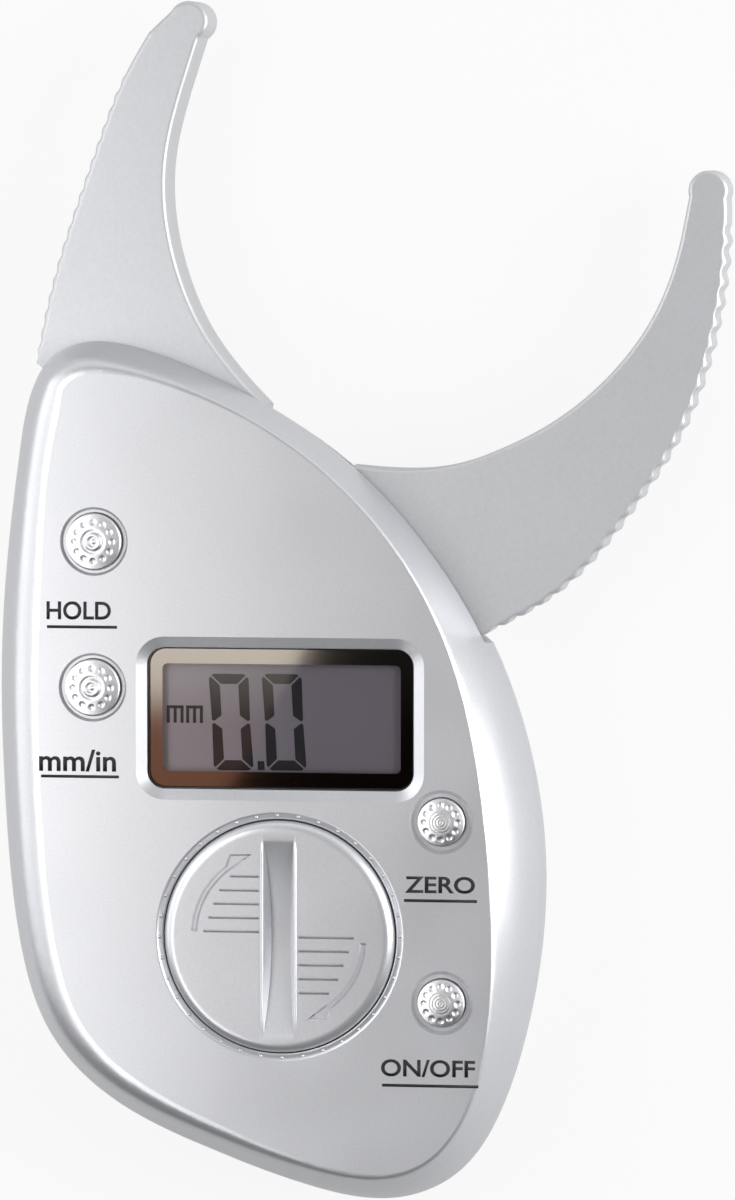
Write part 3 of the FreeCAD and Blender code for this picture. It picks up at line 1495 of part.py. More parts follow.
def build_cover():
    rim, bevel = dim.cover_diameter / 2, dim.cover_chamfer
    plate_foot = cover_top - dim.cover_plate
    skirt_inside = skirt_radius - dim.skirt_wall
    profile = [(0, plate_foot), (skirt_inside, plate_foot), (skirt_inside, skirt_foot)]
    profile += [(skirt_radius, skirt_foot), (skirt_radius, cover_under), (rim, cover_under)]
    profile += [(rim, cover_top - bevel), (rim - bevel, cover_top), (0, cover_top)]
    pieces = [turned("cover_disc", *BATTERY, profile)]
    for k in range(2):
        inner = skirt_radius - dim.skirt_wall / 2
        pieces.append(turned_block(
            f"lug_{k}", BATTERY, 180 * k, inner, skirt_foot, dim.lug_reach - inner, dim.lug_width,
            dim.lug_height,
        ))
    rim_wide = 2 * dim.slot_rim_width
    pieces.append(rounded_prism(
        "slot_rim", *BATTERY, cover_top - 0.1, dim.coin_slot_width + rim_wide,
        dim.coin_slot_length + rim_wide, as_size(0.6), dim.slot_rim_height + 0.1,
    ))
    solid = fuse("cover_solid", pieces)
    slot = coin_slot("slot_disc", dim.coin_slot_width, dim.coin_slot_length, dim.coin_slot_depth)
    return cut_in_turn("cover_cut", solid, [slot, group("marks", mark_cutters(0) + mark_cutters(180))])


node(build_seal(), "battery_seal")
node(build_cover(), "battery_cover")


# ---------------------------------------------------------------------------------------------
# Screws
# ---------------------------------------------------------------------------------------------


def build_case_screws():
    screws = []
    for k, (x, y) in enumerate(JAW_SCREWS + SHELL_SCREWS):
        screws.append(cross_head_screw(
            f"case_screw_{k}", x, y, dim.case_head_seat, dim.case_screw_length, screw_radius,
            dim.case_head_diameter / 2, dim.case_head_height, 1,
        ))
    return group("case_screw_set", screws)


def build_board_screws():
    screws = []
    for k, (x, y) in enumerate(POSTS):
        screws.append(cross_head_screw(
            f"board_screw_{k}", x, y, board_top, dim.board_screw_length,
            dim.board_screw_diameter / 2, dim.board_head_diameter / 2, dim.board_head_height, -1,
        ))
    return group("board_screw_set", screws)


node(build_case_screws(), "case_screws")
node(build_board_screws(), "board_screws")


# ---------------------------------------------------------------------------------------------
# Write every sub-part
# ---------------------------------------------------------------------------------------------


def check_document():
    doc.recompute()
    for thing in doc.Objects:
        if {"Invalid", "Error"} & set(thing.State):
            raise RuntimeError(f"{thing.Name} failed: {thing.State}")
    for piece in nodes:
        shape = piece.Shape
        if shape.isNull() or not shape.isValid() or not shape.Solids:
            raise RuntimeError(f"{piece.Label} has no valid solid")


def write_parts():
    os.makedirs("parts", exist_ok=True)
    for piece in nodes:
        piece.Shape.exportStep(f"parts/{piece.Label}.step")
        print(f"{piece.Label}: {len(piece.Shape.Solids)} solid(s), {piece.Shape.Volume:.1f} mm3")


check_document()
write_parts()
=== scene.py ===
import math

import bpy
import numpy as np
from mathutils import Matrix, Vector


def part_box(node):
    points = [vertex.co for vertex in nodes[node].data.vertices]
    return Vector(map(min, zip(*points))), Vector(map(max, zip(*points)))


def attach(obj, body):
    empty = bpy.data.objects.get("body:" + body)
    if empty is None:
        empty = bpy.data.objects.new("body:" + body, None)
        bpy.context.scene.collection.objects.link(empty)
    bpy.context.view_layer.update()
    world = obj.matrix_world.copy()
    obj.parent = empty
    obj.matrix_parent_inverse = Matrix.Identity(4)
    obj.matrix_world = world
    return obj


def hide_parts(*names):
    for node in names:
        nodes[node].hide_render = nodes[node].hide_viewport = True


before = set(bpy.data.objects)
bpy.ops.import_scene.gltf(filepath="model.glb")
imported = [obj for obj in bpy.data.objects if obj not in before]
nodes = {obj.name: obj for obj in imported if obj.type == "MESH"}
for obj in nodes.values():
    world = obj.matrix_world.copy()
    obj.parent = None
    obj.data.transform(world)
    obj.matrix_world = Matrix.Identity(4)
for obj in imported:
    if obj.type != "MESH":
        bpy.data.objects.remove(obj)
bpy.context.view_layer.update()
MM = 0.001


# ---------------------------------------------------------------------------------------------
# Case: two ABS shells, injection moulded and sprayed with a satin silver paint that carries fine
# metal flakes. They meet half way up and five screws from the back hold them together.
# ---------------------------------------------------------------------------------------------

FLAKE_SIZE = 0.25           # real flakes are under 0.05 mm: drawn this coarse so that they show
SPRAY_SIZE = 11             # slow changes of gloss from the spray gun
NOISE = (0.3, 0.7)          # a noise pattern's values lie about between these


def linear(code):
    """The linear colour of an sRGB hex code."""
    channels = [int(code[k:k + 2], 16) / 255 for k in (1, 3, 5)]
    bent = [c / 12.92 if c <= 0.04045 else ((c + 0.055) / 1.055) ** 2.4 for c in channels]
    return (*bent, 1.0)


def add_node(tree, kind, inputs=None, stops=(), **settings):
    """Adds one node. An input is a plain value or another node's output; stops are a ramp's."""
    made = tree.nodes.new("ShaderNode" + kind)
    for name, value in settings.items():
        setattr(made, name, value)
    for k, (share, code) in enumerate(stops):
        made.color_ramp.elements[k].position = share
        made.color_ramp.elements[k].color = linear(code)
    for socket, value in (inputs or {}).items():
        if isinstance(value, bpy.types.NodeSocket):
            tree.links.new(value, made.inputs[socket])
        else:
            made.inputs[socket].default_value = value
    return made


def new_material(name):
    """An empty material and its node tree."""
    made = bpy.data.materials.new(name)
    made.use_nodes = True
    made.node_tree.nodes.clear()
    return made, made.node_tree


def coat(material, *names):
    """Gives CAD nodes a material in every slot."""
    for name in names:
        slots = nodes[name].data.materials
        for k in range(len(slots)):
            slots[k] = material


def make_grained(
    name, dark, light, size, gloss, metal=0.0, relief=0.0, strength=0.3, detail=3.0, patches=None,
):
    """A fine grain of dark and light, whose gloss follows the grain or else slow patches. The
    sizes of grain and patches and the relief are in millimetres."""
    made, tree = new_material(name)
    place = add_node(tree, "TexCoord").outputs["Object"]
    grain = add_node(tree, "TexNoise", {
        "Vector": place, "Scale": 1 / (size * MM), "Detail": detail,
    })
    uneven = grain
    if patches:
        uneven = add_node(tree, "TexNoise", {
            "Vector": place, "Scale": 1 / (patches * MM), "Detail": 1.0,
        })
    rough = add_node(tree, "MapRange", {
        "Value": uneven.outputs["Fac"], "From Min": NOISE[0], "From Max": NOISE[1],
        "To Min": gloss[0], "To Max": gloss[1],
    })
    tone = add_node(tree, "ValToRGB", {"Fac": grain.outputs["Fac"]},
                    stops=[(NOISE[0], dark), (NOISE[1], light)])
    finish = {
        "Base Color": tone.outputs["Color"],
        "Metallic": metal,
        "Roughness": rough.outputs["Result"],
    }
    if relief:
        finish["Normal"] = add_node(tree, "Bump", {
            "Height": grain.outputs["Fac"], "Strength": strength, "Distance": relief * MM,
        }).outputs["Normal"]
    shader = add_node(tree, "BsdfPrincipled", finish)
    add_node(tree, "OutputMaterial", {"Surface": shader.outputs["BSDF"]})
    return made


# flakes under a thin clear binder: a broad soft sheen with a faint sparkle
satin_paint = make_grained(
    "satin_silver_paint_on_abs", "#C7C8CC", "#CDCED2", size=FLAKE_SIZE, gloss=(0.31, 0.36),
    metal=0.7, relief=0.02, strength=0.03, detail=2.0, patches=SPRAY_SIZE,
)
coat(satin_paint, "front_shell", "rear_shell")


# ---------------------------------------------------------------------------------------------
# Jaws: two flat ABS mouldings 7 mm thick, pigmented grey with a little metal, unpainted. The left
# one is clamped between the shells, the right one turns on the pin. Their outer edges are toothed
# for grip, and each ends in a round contact tip that stands a little proud of the blade.
# ---------------------------------------------------------------------------------------------

JAW_FOOT = 7.5
JAW_TOP = 14.5
RIM = 0.48                  # rounding of the edges
RIM_STEPS = 10
RIM_MARGIN = 0.12           # a flat strip inside the rounding keeps the faces' shading flat
FADE = 3.0                  # the rounding dies out over this length where a jaw enters the case
TIP_RADIUS = 2.245
TIP_POINTS = 48
INNER_POINTS = 160
TOOTH_POINTS = 14
JOIN_SPACING = 0.3          # between points where an edge meets the tip
FIXED_INNER = [
    (-13.4, 53.9), (-15.15, 46.8), (-15.3, 40.4), (-13.9, 33.5), (-11.0, 26.8), (-4.2, 18.4),
]
FIXED_OUTER = [
    (-17.3, 60.2), (-20.1, 55.3), (-23.4, 47.0), (-26.9, 36.9), (-29.4, 27.5), (-30.2, 23.1),
]
FIXED_TIP = (-12.8, 61.45)
FIXED_STEPS = (0.5, 0.1)    # how far the inner and the outer edge stand in from the tip's sides
FIXED_TEETH = {"teeth": 17, "plain": 0.14, "swing": 0.09}   # plain: share of the edge at the tip
MOVING_INNER = [
    (43.3, 40.6), (42.2, 35.4), (39.4, 28.3), (34.7, 22.0), (28.6, 16.9), (21.8, 13.4),
    (16.4, 11.65), (10.7, 11.25), (5.4, 11.6),
]
MOVING_OUTER = [
    (47.85, 40.4), (47.5, 33.7), (46.4, 27.0), (43.2, 17.0), (37.1, 7.0), (27.9, -3.0),
    (20.4, -7.1),
]
MOVING_TIP = (45.7, 42.5)
MOVING_STEPS = (0.25, 0.25)
MOVING_TEETH = {"teeth": 24, "plain": 0.03, "swing": 0.19}
HUB_RADIUS = 9.0
HUB_ARC = (108, 280)        # the hub's free edge, in degrees
HEEL = (5.0, -19.8)         # how far in from the end of the outer edge, and its angle
HUB_ROOM = 16.5             # the fixed jaw's root keeps this far from the pivot
ROOM_ARC = (106, 186)
ROOT_END = -6.0
ROOT_TOE = 1.5
ROOT_CHAMFER = 0.4
ROOT_WALL = [(-29.42, 2.0), (-28.5, 12.5)]
ROOT_CORNER = (3.2, 142.7)  # how far in from the end of the outer edge, and its angle
HUB_TOP = 12.5
NECK_TOP = 13.4
NECK_RADIUS = 4.5
PIN_BORE = 2.04
RECESS_RADIUS = 9.6
JAW_SCREWS = [(-25.6, 17.0), (-13.0, 17.4)]
SCREW_BORE = 1.3
ROTOR_SCREWS = [(-7.0, 0.0), (7.0, 0.0)]
ROTOR_BORE = 0.52
ROTOR_THREAD = 3.0
PEG_CIRCLE = 8.0
PEG_ANGLE = 62.0
PEG_RADIUS = 1.0
PEG_SUNK = 0.5
PAST = 1.0                  # how far a cutter stands past what it cuts
TEXTURE_SIZE = 0.35         # grain of the mould
FLOW_SIZE = 14              # slow changes of gloss along the flow of the melt


def on_circle(radius, degrees, centre=(0.0, 0.0)):
    """The point of a circle at an angle."""
    angle = math.radians(degrees)
    return np.array([centre[0] + radius * math.cos(angle), centre[1] + radius * math.sin(angle)])


def smooth_line(points, count):
    """Evenly spaced points on the natural cubic line through a few points."""
    spots = np.array(points, float)
    knots = np.concatenate([[0.0], np.cumsum(np.linalg.norm(np.diff(spots, axis=0), axis=1))])
    gaps = np.diff(knots)
    size = len(knots)
    stiffness = np.eye(size)
    load = np.zeros((size, 2))
    for k in range(1, size - 1):
        stiffness[k, k - 1:k + 2] = gaps[k - 1], 2 * (gaps[k - 1] + gaps[k]), gaps[k]
        ahead = (spots[k + 1] - spots[k]) / gaps[k]
        behind = (spots[k] - spots[k - 1]) / gaps[k - 1]
        load[k] = 6 * (ahead - behind)
    bend = np.linalg.solve(stiffness, load)
    along = np.linspace(0, knots[-1], 3000)
    span = np.clip(np.searchsorted(knots, along) - 1, 0, size - 2)
    before = ((knots[span + 1] - along) / gaps[span])[:, None]
    after = 1 - before
    square = (gaps[span] ** 2)[:, None] / 6
    line = before * spots[span] + after * spots[span + 1]
    line += ((before**3 - before) * bend[span] + (after**3 - after) * bend[span + 1]) * square
    walked = np.concatenate([[0.0], np.cumsum(np.linalg.norm(np.diff(line, axis=0), axis=1))])
    even = np.linspace(0, walked[-1], count)
    return np.column_stack([np.interp(even, walked, line[:, k]) for k in (0, 1)])


def tooth_waves(line, teeth, plain, swing):
    """The toothed edge: the smooth line pushed in and out, after a plain stretch at the tip."""
    tangent = np.gradient(line, axis=0)
    tangent /= np.linalg.norm(tangent, axis=1)[:, None]
    sideways = np.column_stack([tangent[:, 1], -tangent[:, 0]])
    share = np.linspace(0, 1, len(line))
    toothed = np.clip((share - plain) / (1 - plain), 0, None)
    return sideways * (swing * np.sin(2 * math.pi * teeth * toothed))[:, None]


def tip_touch(start, centre, hand, step):
    """Angle at which an edge meets the round tip, standing a step inside the tip's tangent."""
    away = np.array(start) - np.array(centre)
    distance = np.linalg.norm(away)
    lean = math.acos((TIP_RADIUS - step) / distance) - math.acos((TIP_RADIUS - step) / TIP_RADIUS)
    return math.atan2(away[1], away[0]) + hand * lean


def straight(start, end, spacing=0.5):
    """Points on a straight edge, without its last one."""
    start, end = np.array(start, float), np.array(end, float)
    count = max(1, round(np.linalg.norm(end - start) / spacing))
    return start + (end - start) * (np.arange(count) / count)[:, None]


def make_mesh_piece(name, points, faces, material, body=None, slot=None, sharp=30.0):
    """A smooth-shaded mesh piece, its points in millimetres. With a body, it rides on that."""
    mesh = bpy.data.meshes.new(name)
    mesh.from_pydata([tuple(c * MM for c in point) for point in points], [], faces)
    mesh.update()
    mesh.shade_smooth()
    mesh.set_sharp_from_angle(angle=math.radians(sharp))
    mesh.materials.append(material)
    made = bpy.data.objects.new(name, mesh)
    bpy.context.scene.collection.objects.link(made)
    if body:
        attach(made, body)
    return made


def ring_faces(lower, upper):
    """Quads between two closed rows of points, given by their numbers."""
    count = len(lower)
    return [
        (lower[k], lower[(k + 1) % count], upper[(k + 1) % count], upper[k]) for k in range(count)
    ]


def turned(profile, steps, centre=(0.0, 0.0)):
    """Points and faces of a solid turned about an upright axis, its profile from foot to top."""
    points, rows, faces = [], [], []
    for radius, height in profile:
        if radius == 0:
            points.append((*centre, height))
            rows.append([len(points) - 1])
            continue
        rows.append(list(range(len(points), len(points) + steps)))
        points += [(*on_circle(radius, 360 * k / steps, centre), height) for k in range(steps)]
    for lower, upper in zip(rows, rows[1:]):
        if len(lower) == 1:
            faces += [(lower[0], upper[(k + 1) % steps], upper[k]) for k in range(steps)]
        elif len(upper) == 1:
            faces += [(lower[k], lower[(k + 1) % steps], upper[0]) for k in range(steps)]
        else:
            faces += ring_faces(lower, upper)
    if profile[0][0] != 0:
        faces += ring_faces(rows[-1], rows[0])
    return points, faces


def pin_profile(radius, foot, top):
    """The profile of a plain round pin or hole."""
    return [(0, foot), (radius, foot), (radius, top), (0, top)]


def carve(target, shape, operation="DIFFERENCE"):
    """Cuts a shape out of a piece for good, or joins it on."""
    tool = make_mesh_piece("tool", *shape, target.data.materials[0])
    change = target.modifiers.new("carve", "BOOLEAN")
    change.object = tool
    change.operation = operation
    change.solver = "EXACT"
    graph = bpy.context.evaluated_depsgraph_get()
    graph.update()
    carved = bpy.data.meshes.new_from_object(target.evaluated_get(graph))
    carved.set_sharp_from_angle(angle=math.radians(30))
    target.modifiers.clear()
    target.data = carved
    bpy.data.objects.remove(tool)


def make_jaw(name, inner, outer, centre, steps, root, body, material, teeth, plain, swing):
    """Outline of the blade with its round tip, then both faces with rounded rims."""
    inner_line = smooth_line(inner, INNER_POINTS)[::-1]
    outer_line = smooth_line(outer, teeth * TOOTH_POINTS)
    waves = tooth_waves(outer_line, teeth, plain, swing)
    side = 1 if inner[0][0] > outer[0][0] else -1
    first = tip_touch(inner[0], centre, side, steps[0])
    last = tip_touch(outer[0], centre, -side, steps[1])
    if side * (last - first) < 0:
        last += side * 2 * math.pi
    turn = np.linspace(first, last, TIP_POINTS)
    tip = np.array(centre) + TIP_RADIUS * np.column_stack([np.cos(turn), np.sin(turn)])
    parts = [
        (inner_line[:-1], RIM), (straight(inner[0], tip[0], JOIN_SPACING), RIM), (tip, RIM),
        (straight(tip[-1], outer[0], JOIN_SPACING)[1:], RIM), (outer_line, RIM),
        (root(inner[-1], outer[-1]), 0.0),
    ]
    base = np.vstack([line for line, _ in parts])
    rim = np.concatenate([np.full(len(line), width) for line, width in parts])
    push = np.zeros_like(base)
    toothed = sum(len(line) for line, _ in parts[:4])
    push[toothed:toothed + len(outer_line)] = waves
    if side < 0:
        base, rim, push = base[::-1], rim[::-1], push[::-1]
    hidden = np.where(rim == 0)[0]
    ends = base[[hidden[0] - 1, (hidden[-1] + 1) % len(base)]]
    reach = np.linalg.norm(base[:, None] - ends[None], axis=2).min(axis=1)
    rim = rim * np.clip(reach / FADE, 0, 1)
    tangent = np.roll(base, -1, axis=0) - np.roll(base, 1, axis=0)
    tangent /= np.linalg.norm(tangent, axis=1)[:, None]
    inward = np.column_stack([-tangent[:, 1], tangent[:, 0]])
    edge = base + push
    crest = base + inward * rim[:, None]
    flat = base + inward * (rim + RIM_MARGIN)[:, None]
    turns = np.linspace(0, math.pi / 2, RIM_STEPS)
    rows = [(edge + (crest - edge) * (1 - math.cos(t)), rim * (1 - math.sin(t))) for t in turns]
    rows.append((flat, rim * 0))
    points = []
    for line, depth in rows[::-1]:
        points += [(x, y, JAW_FOOT + z) for (x, y), z in zip(line, depth)]
    for line, depth in rows:
        points += [(x, y, JAW_TOP - z) for (x, y), z in zip(line, depth)]
    count = len(base)
    numbers = [list(range(k * count, (k + 1) * count)) for k in range(2 * len(rows))]
    faces = [numbers[0][::-1]]
    for lower, upper in zip(numbers, numbers[1:]):
        faces += ring_faces(lower, upper)
    faces.append(numbers[-1])
    return make_mesh_piece(name, points, faces, material, body, "grey_jaw")


def fixed_root(inner_end, outer_end):
    """The clamped end: round the hub, along the side wall and back to the toothed edge."""
    arc = [on_circle(HUB_ROOM, a) for a in np.linspace(*ROOM_ARC, 30)]
    toe = (arc[-1][0] - ROOT_TOE, ROOT_END)
    foot = (ROOT_WALL[0][0] + ROOT_CHAMFER, ROOT_END)
    inset, angle = ROOT_CORNER
    corner = on_circle(np.linalg.norm(outer_end) - inset, angle)
    stops = [arc[-1], toe, foot, *ROOT_WALL, corner, outer_end]
    lines = [straight(a, b, 1.0) for a, b in zip(stops, stops[1:])]
    return np.vstack([straight(inner_end, arc[0]), arc[:-1], *lines])[::-1][:-1]


def moving_root(inner_end, outer_end):
    """The round hub, met by two flanks; the outer one has a heel just inside the case."""
    arc = [on_circle(HUB_RADIUS, a) for a in np.linspace(*HUB_ARC, 60)]
    inset, angle = HEEL
    heel = on_circle(np.linalg.norm(outer_end) - inset, angle)
    flank = np.vstack([straight(arc[-1], heel), straight(heel, outer_end)])
    return np.vstack([straight(inner_end, arc[0]), arc[:-1], flank])[::-1][:-1]


# grey pigment with a little metal, straight from a finely textured mould: matt and even
jaw_plastic = make_grained(
    "moulded_grey_abs", "#BFC0C3", "#C4C5C8", size=TEXTURE_SIZE, gloss=(0.35, 0.38),
    metal=0.45, relief=0.02, strength=0.03, detail=2.0, patches=FLOW_SIZE,
)
fixed_jaw = make_jaw(
    "fixed_jaw_blade", FIXED_INNER, FIXED_OUTER, FIXED_TIP, FIXED_STEPS, fixed_root, "housing",
    jaw_plastic, **FIXED_TEETH,
)
for place in JAW_SCREWS:
    hole = turned(pin_profile(SCREW_BORE, JAW_FOOT - PAST, JAW_TOP + PAST), 48, place)
    carve(fixed_jaw, hole)
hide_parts("fixed_jaw")

moving_jaw = make_jaw(
    "moving_jaw_blade", MOVING_INNER, MOVING_OUTER, MOVING_TIP, MOVING_STEPS, moving_root, "jaw",
    jaw_plastic, **MOVING_TEETH,
)
hub = turned([
    (0, JAW_FOOT - PAST), (PIN_BORE, JAW_FOOT - PAST), (PIN_BORE, NECK_TOP),
    (NECK_RADIUS, NECK_TOP), (NECK_RADIUS, HUB_TOP), (RECESS_RADIUS, HUB_TOP),
    (RECESS_RADIUS, JAW_TOP + PAST), (0, JAW_TOP + PAST),
], 96)
carve(moving_jaw, hub)
for place in ROTOR_SCREWS:
    thread = turned(pin_profile(ROTOR_BORE, HUB_TOP - ROTOR_THREAD, HUB_TOP + PAST), 32, place)
    carve(moving_jaw, thread)
peg_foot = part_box("moving_jaw")[0].z / MM
peg_profile = pin_profile(PEG_RADIUS, peg_foot, JAW_FOOT + PEG_SUNK)
carve(moving_jaw, turned(peg_profile, 32, on_circle(PEG_CIRCLE, PEG_ANGLE)), "UNION")
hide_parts("moving_jaw")


# ---------------------------------------------------------------------------------------------
# Pivot: a ground steel pin through both shells, two acetal washers, and a torsion spring wound
# from drawn spring wire that holds the jaws open until a hand closes them.
# ---------------------------------------------------------------------------------------------

# ground and lightly polished: an even, fairly sharp reflection
ground_steel = make_grained(
    "ground_steel", "#9C9DA0", "#B2B3B6", size=0.4, gloss=(0.16, 0.24), metal=1.0, relief=0.004,
)
# drawn wire keeps a dull skin of drawing compound
spring_wire = make_grained(
    "drawn_spring_wire", "#7F8084", "#9A9BA0", size=0.3, gloss=(0.28, 0.40), metal=1.0,
    relief=0.004,
)
# acetal: milky white and waxy
acetal = make_grained(
    "white_acetal", "#DAD8D0", "#E9E8E1", size=1.2, gloss=(0.34, 0.42), relief=0.004,
)
coat(ground_steel, "pivot_pin")
coat(spring_wire, "return_spring")
coat(acetal, "upper_washer", "lower_washer")


# ---------------------------------------------------------------------------------------------
# Encoder: a slotted copper rotor screwed to the hub, read by copper tracks on a film below the
# board. Two tiny screws hold the rotor.
# ---------------------------------------------------------------------------------------------

# etched copper under a thin lacquer: warm, softly blurred
copper = make_grained(
    "etched_copper", "#A66A3F", "#C68A59", size=0.5, gloss=(0.25, 0.38), metal=1.0, relief=0.003,
)
coat(copper, "encoder_rotor", "encoder_stator")
# bright zinc plate: faintly blue
zinc = make_grained(
    "zinc_plated_steel", "#A9ABB0", "#C4C6CB", size=0.25, gloss=(0.20, 0.34), metal=1.0,
    relief=0.003,
)
coat(zinc, "rotor_screws", "board_screws", "case_screws")


# ---------------------------------------------------------------------------------------------
# Display: a clear acrylic window with a mirror-black printed border, taped into its pocket. Under
# it a glass liquid-crystal cell in a black frame rests on two striped rubber connectors.
# ---------------------------------------------------------------------------------------------

WINDOW = (-1.35, -16.3)
# size and corner radius of the clear view, the printed border and the dull line round it
VIEW = ((26.9, 12.1), 0.6)
BORDER = ((29.6, 15.4), 1.75)
LINE_INSIDE = ((29.61, 15.41), 1.76)
LINE_OUTSIDE = ((29.95, 15.75), 1.92)
LENS_FOOT = 20.6
GLASS_TOP = 19.5
PRINT = 0.03                # thickness of the printed border, drawn thicker than ink
PRINT_SUNK = 0.01           # how far the print reaches into the sheet
PRINT_WAVES = 5             # unevenness of the metallised film
SHEET_IOR = 1.3             # bare acrylic has 1.49: a coated sheet reflects less


def make_clear_acrylic():
    """Polished clear sheet: nearly invisible, with a sharp faint reflection."""
    made, tree = new_material("clear_acrylic")
    gloss = add_node(tree, "Fresnel", {"IOR": SHEET_IOR})
    through = add_node(tree, "BsdfTransparent", {"Color": linear("#F6F6F7")})
    mirror = add_node(tree, "BsdfPrincipled", {
        "Base Color": linear("#FFFFFF"), "Metallic": 1.0, "Roughness": 0.02,
    })
    both = add_node(tree, "MixShader", {
        0: gloss.outputs[0], 1: through.outputs[0], 2: mirror.outputs[0],
    })
    add_node(tree, "OutputMaterial", {"Surface": both.outputs[0]})
    return made


def rounded_rectangle(size, corner, steps=10):
    """Points round a rectangle about the window's middle, counterclockwise."""
    points = []
    for k, (hand_x, hand_y) in enumerate([(1, 1), (-1, 1), (-1, -1), (1, -1)]):
        middle = (
            WINDOW[0] + hand_x * (size[0] / 2 - corner),
            WINDOW[1] + hand_y * (size[1] / 2 - corner),
        )
        points += [on_circle(corner, 90 * (k + j / steps), middle) for j in range(steps + 1)]
    return points


def make_border(name, outside, inside, material):
    """A thin printed frame under the clear sheet, between two rounded rectangles."""
    outer, inner = rounded_rectangle(*outside), rounded_rectangle(*inside)
    levels = [(outer, -PRINT), (outer, PRINT_SUNK), (inner, PRINT_SUNK), (inner, -PRINT)]
    count = len(outer)
    points = []
    for line, height in levels:
        points += [(x, y, LENS_FOOT + height) for x, y in line]
    numbers = [list(range(k * count, (k + 1) * count)) for k in range(4)]
    faces = []
    for lower, upper in zip(numbers, numbers[1:] + numbers[:1]):
        faces += ring_faces(lower, upper)
    return make_mesh_piece(name, points, faces, material, "housing", "black_plastic")


PAINTED_SHADE_SPAN = (-16.0, 3.0)        # painted shade: the glass is painted light at its left and dark at its right, fading between these
CLOUD_SIZE = 4 * MM
GLASS_GLOSS = (0.10, 0.18)


def make_lcd_glass():
    """The cell at rest, mauve grey, with painted shade: lighter towards the left and darker towards
    the right.
    """
    made, tree = new_material("liquid_crystal_glass_painted_shade")
    place = add_node(tree, "TexCoord").outputs["Object"]
    across = add_node(tree, "SeparateXYZ", {"Vector": place})
    share = add_node(tree, "MapRange", {
        "Value": across.outputs["X"], "From Min": PAINTED_SHADE_SPAN[0] * MM, "From Max": PAINTED_SHADE_SPAN[1] * MM,
        "To Min": 1.0, "To Max": 0.0,
    }, interpolation_type="SMOOTHSTEP")
    cloud = add_node(tree, "TexNoise", {"Vector": place, "Scale": 1 / CLOUD_SIZE, "Detail": 2.0})
    uneven = add_node(tree, "MapRange", {
        "Value": cloud.outputs["Fac"], "From Min": NOISE[0], "From Max": NOISE[1],
        "To Min": GLASS_GLOSS[0], "To Max": GLASS_GLOSS[1],
    })
    # painted shade: the mauve follows the left-to-right fade, lighter left and darker right
    painted_shade_tone = add_node(tree, "ValToRGB", {"Fac": share.outputs["Result"]},
                     stops=[(0.0, "#7E787F"), (1.0, "#A69DA0")])
    shader = add_node(tree, "BsdfPrincipled", {
        "Base Color": painted_shade_tone.outputs["Color"],
        "Roughness": uneven.outputs["Result"],
        "Specular IOR Level": 0.1,
    })
    add_node(tree, "OutputMaterial", {"Surface": shader.outputs["BSDF"]})
    return made


DIGIT_TOPS = [(-9.75, -11.45), (-3.75, -11.4)]      # upper left corner of each figure
DIGIT_SIZE = (4.5, 10.82)
DIGIT_LEAN = 0.055          # sideways per millimetre down
BAR = 1.2
BAR_GAP = 0.07
BAR_HEIGHT = 0.04
CORNER_CUT = 0.5
BAR_END = [(BAR, 0.75), (0.35, 0.12), (0.1, 0.25)]  # foot of a side bar: across, and above half
DECIMAL_POINT = [(-4.22, -21.2), (-3.45, -21.2), (-3.4, -22.2), (-4.17, -22.2)]
LETTER_TOPS = [(-14.5, -15.05), (-12.3, -15.05)]
LETTER_SIZE = (1.9, 1.95)
LEG = 0.34
LEG_SPACING = 0.78


def zero_bars():
    """The six lit bars of a nought, x to the right and y down from its upper left corner."""
    wide, tall = DIGIT_SIZE
    half, cut, bar, gap = tall / 2, CORNER_CUT, BAR, BAR_GAP
    top = [
        (cut / 2 + gap, cut / 2 - gap), (cut + gap, 0), (wide - cut - gap, 0),
        (wide - cut / 2 - gap, cut / 2 - gap), (wide - bar - 2 * gap, bar - gap),
        (bar + 2 * gap, bar - gap),
    ]
    left = [(cut / 2 - gap, cut / 2 + gap), (bar, bar + gap)]
    left += [(x, half - y) for x, y in BAR_END]
    left.append((0, cut + gap))
    bars = [top, left, [(wide - x, y) for x, y in left]]
    return bars + [[(x, tall - y) for x, y in bar_points] for bar_points in bars]


def letter_m_bars(x, y):
    """One blocky letter m: three legs and the bar that joins them."""
    wide, high = LETTER_SIZE
    blocks = [(x + k * LEG_SPACING, LEG, high) for k in range(3)] + [(x, wide, LEG)]
    return [[(a, y), (a + w, y), (a + w, y - h), (a, y - h)] for a, w, h in blocks]


def make_lcd_bars(material):
    """Every lit bar of the display, as thin blocks on the glass."""
    outlines = []
    for left, top in DIGIT_TOPS:
        for bar in zero_bars():
            outlines.append([(left + x + DIGIT_LEAN * y, top - y) for x, y in bar])
    outlines.append(DECIMAL_POINT)
    for corner in LETTER_TOPS:
        outlines += letter_m_bars(*corner)
    points, faces = [], []
    for outline in outlines:
        area = sum(a[0] * b[1] - b[0] * a[1] for a, b in zip(outline, outline[1:] + outline[:1]))
        line = outline if area > 0 else outline[::-1]
        first = len(points)
        for height in (GLASS_TOP, GLASS_TOP + BAR_HEIGHT):
            points += [(x, y, height) for x, y in line]
        low = list(range(first, first + len(line)))
        high = [k + len(line) for k in low]
        faces += [low[::-1], high] + ring_faces(low, high)
    return make_mesh_piece("lcd_bars", points, faces, material, "housing", "lcd_glass")


coat(make_clear_acrylic(), "display_lens")
# closed-cell foam tape: black and dead matt
foam = make_grained(
    "black_foam_tape", "#141416", "#1E1E20", size=0.3, gloss=(0.6, 0.75), relief=0.01,
)
coat(foam, "lens_tape")
# vacuum-metallised film under the clear sheet: dark, and it mirrors the room, dimly
mirror_print = make_grained(
    "metallised_border_print", "#8E8B88", "#8E8B88", size=PRINT_WAVES, gloss=(0.06, 0.06),
    metal=1.0, relief=0.02, strength=0.2, detail=1.0,
)
make_border("lens_border", BORDER, VIEW, mirror_print)
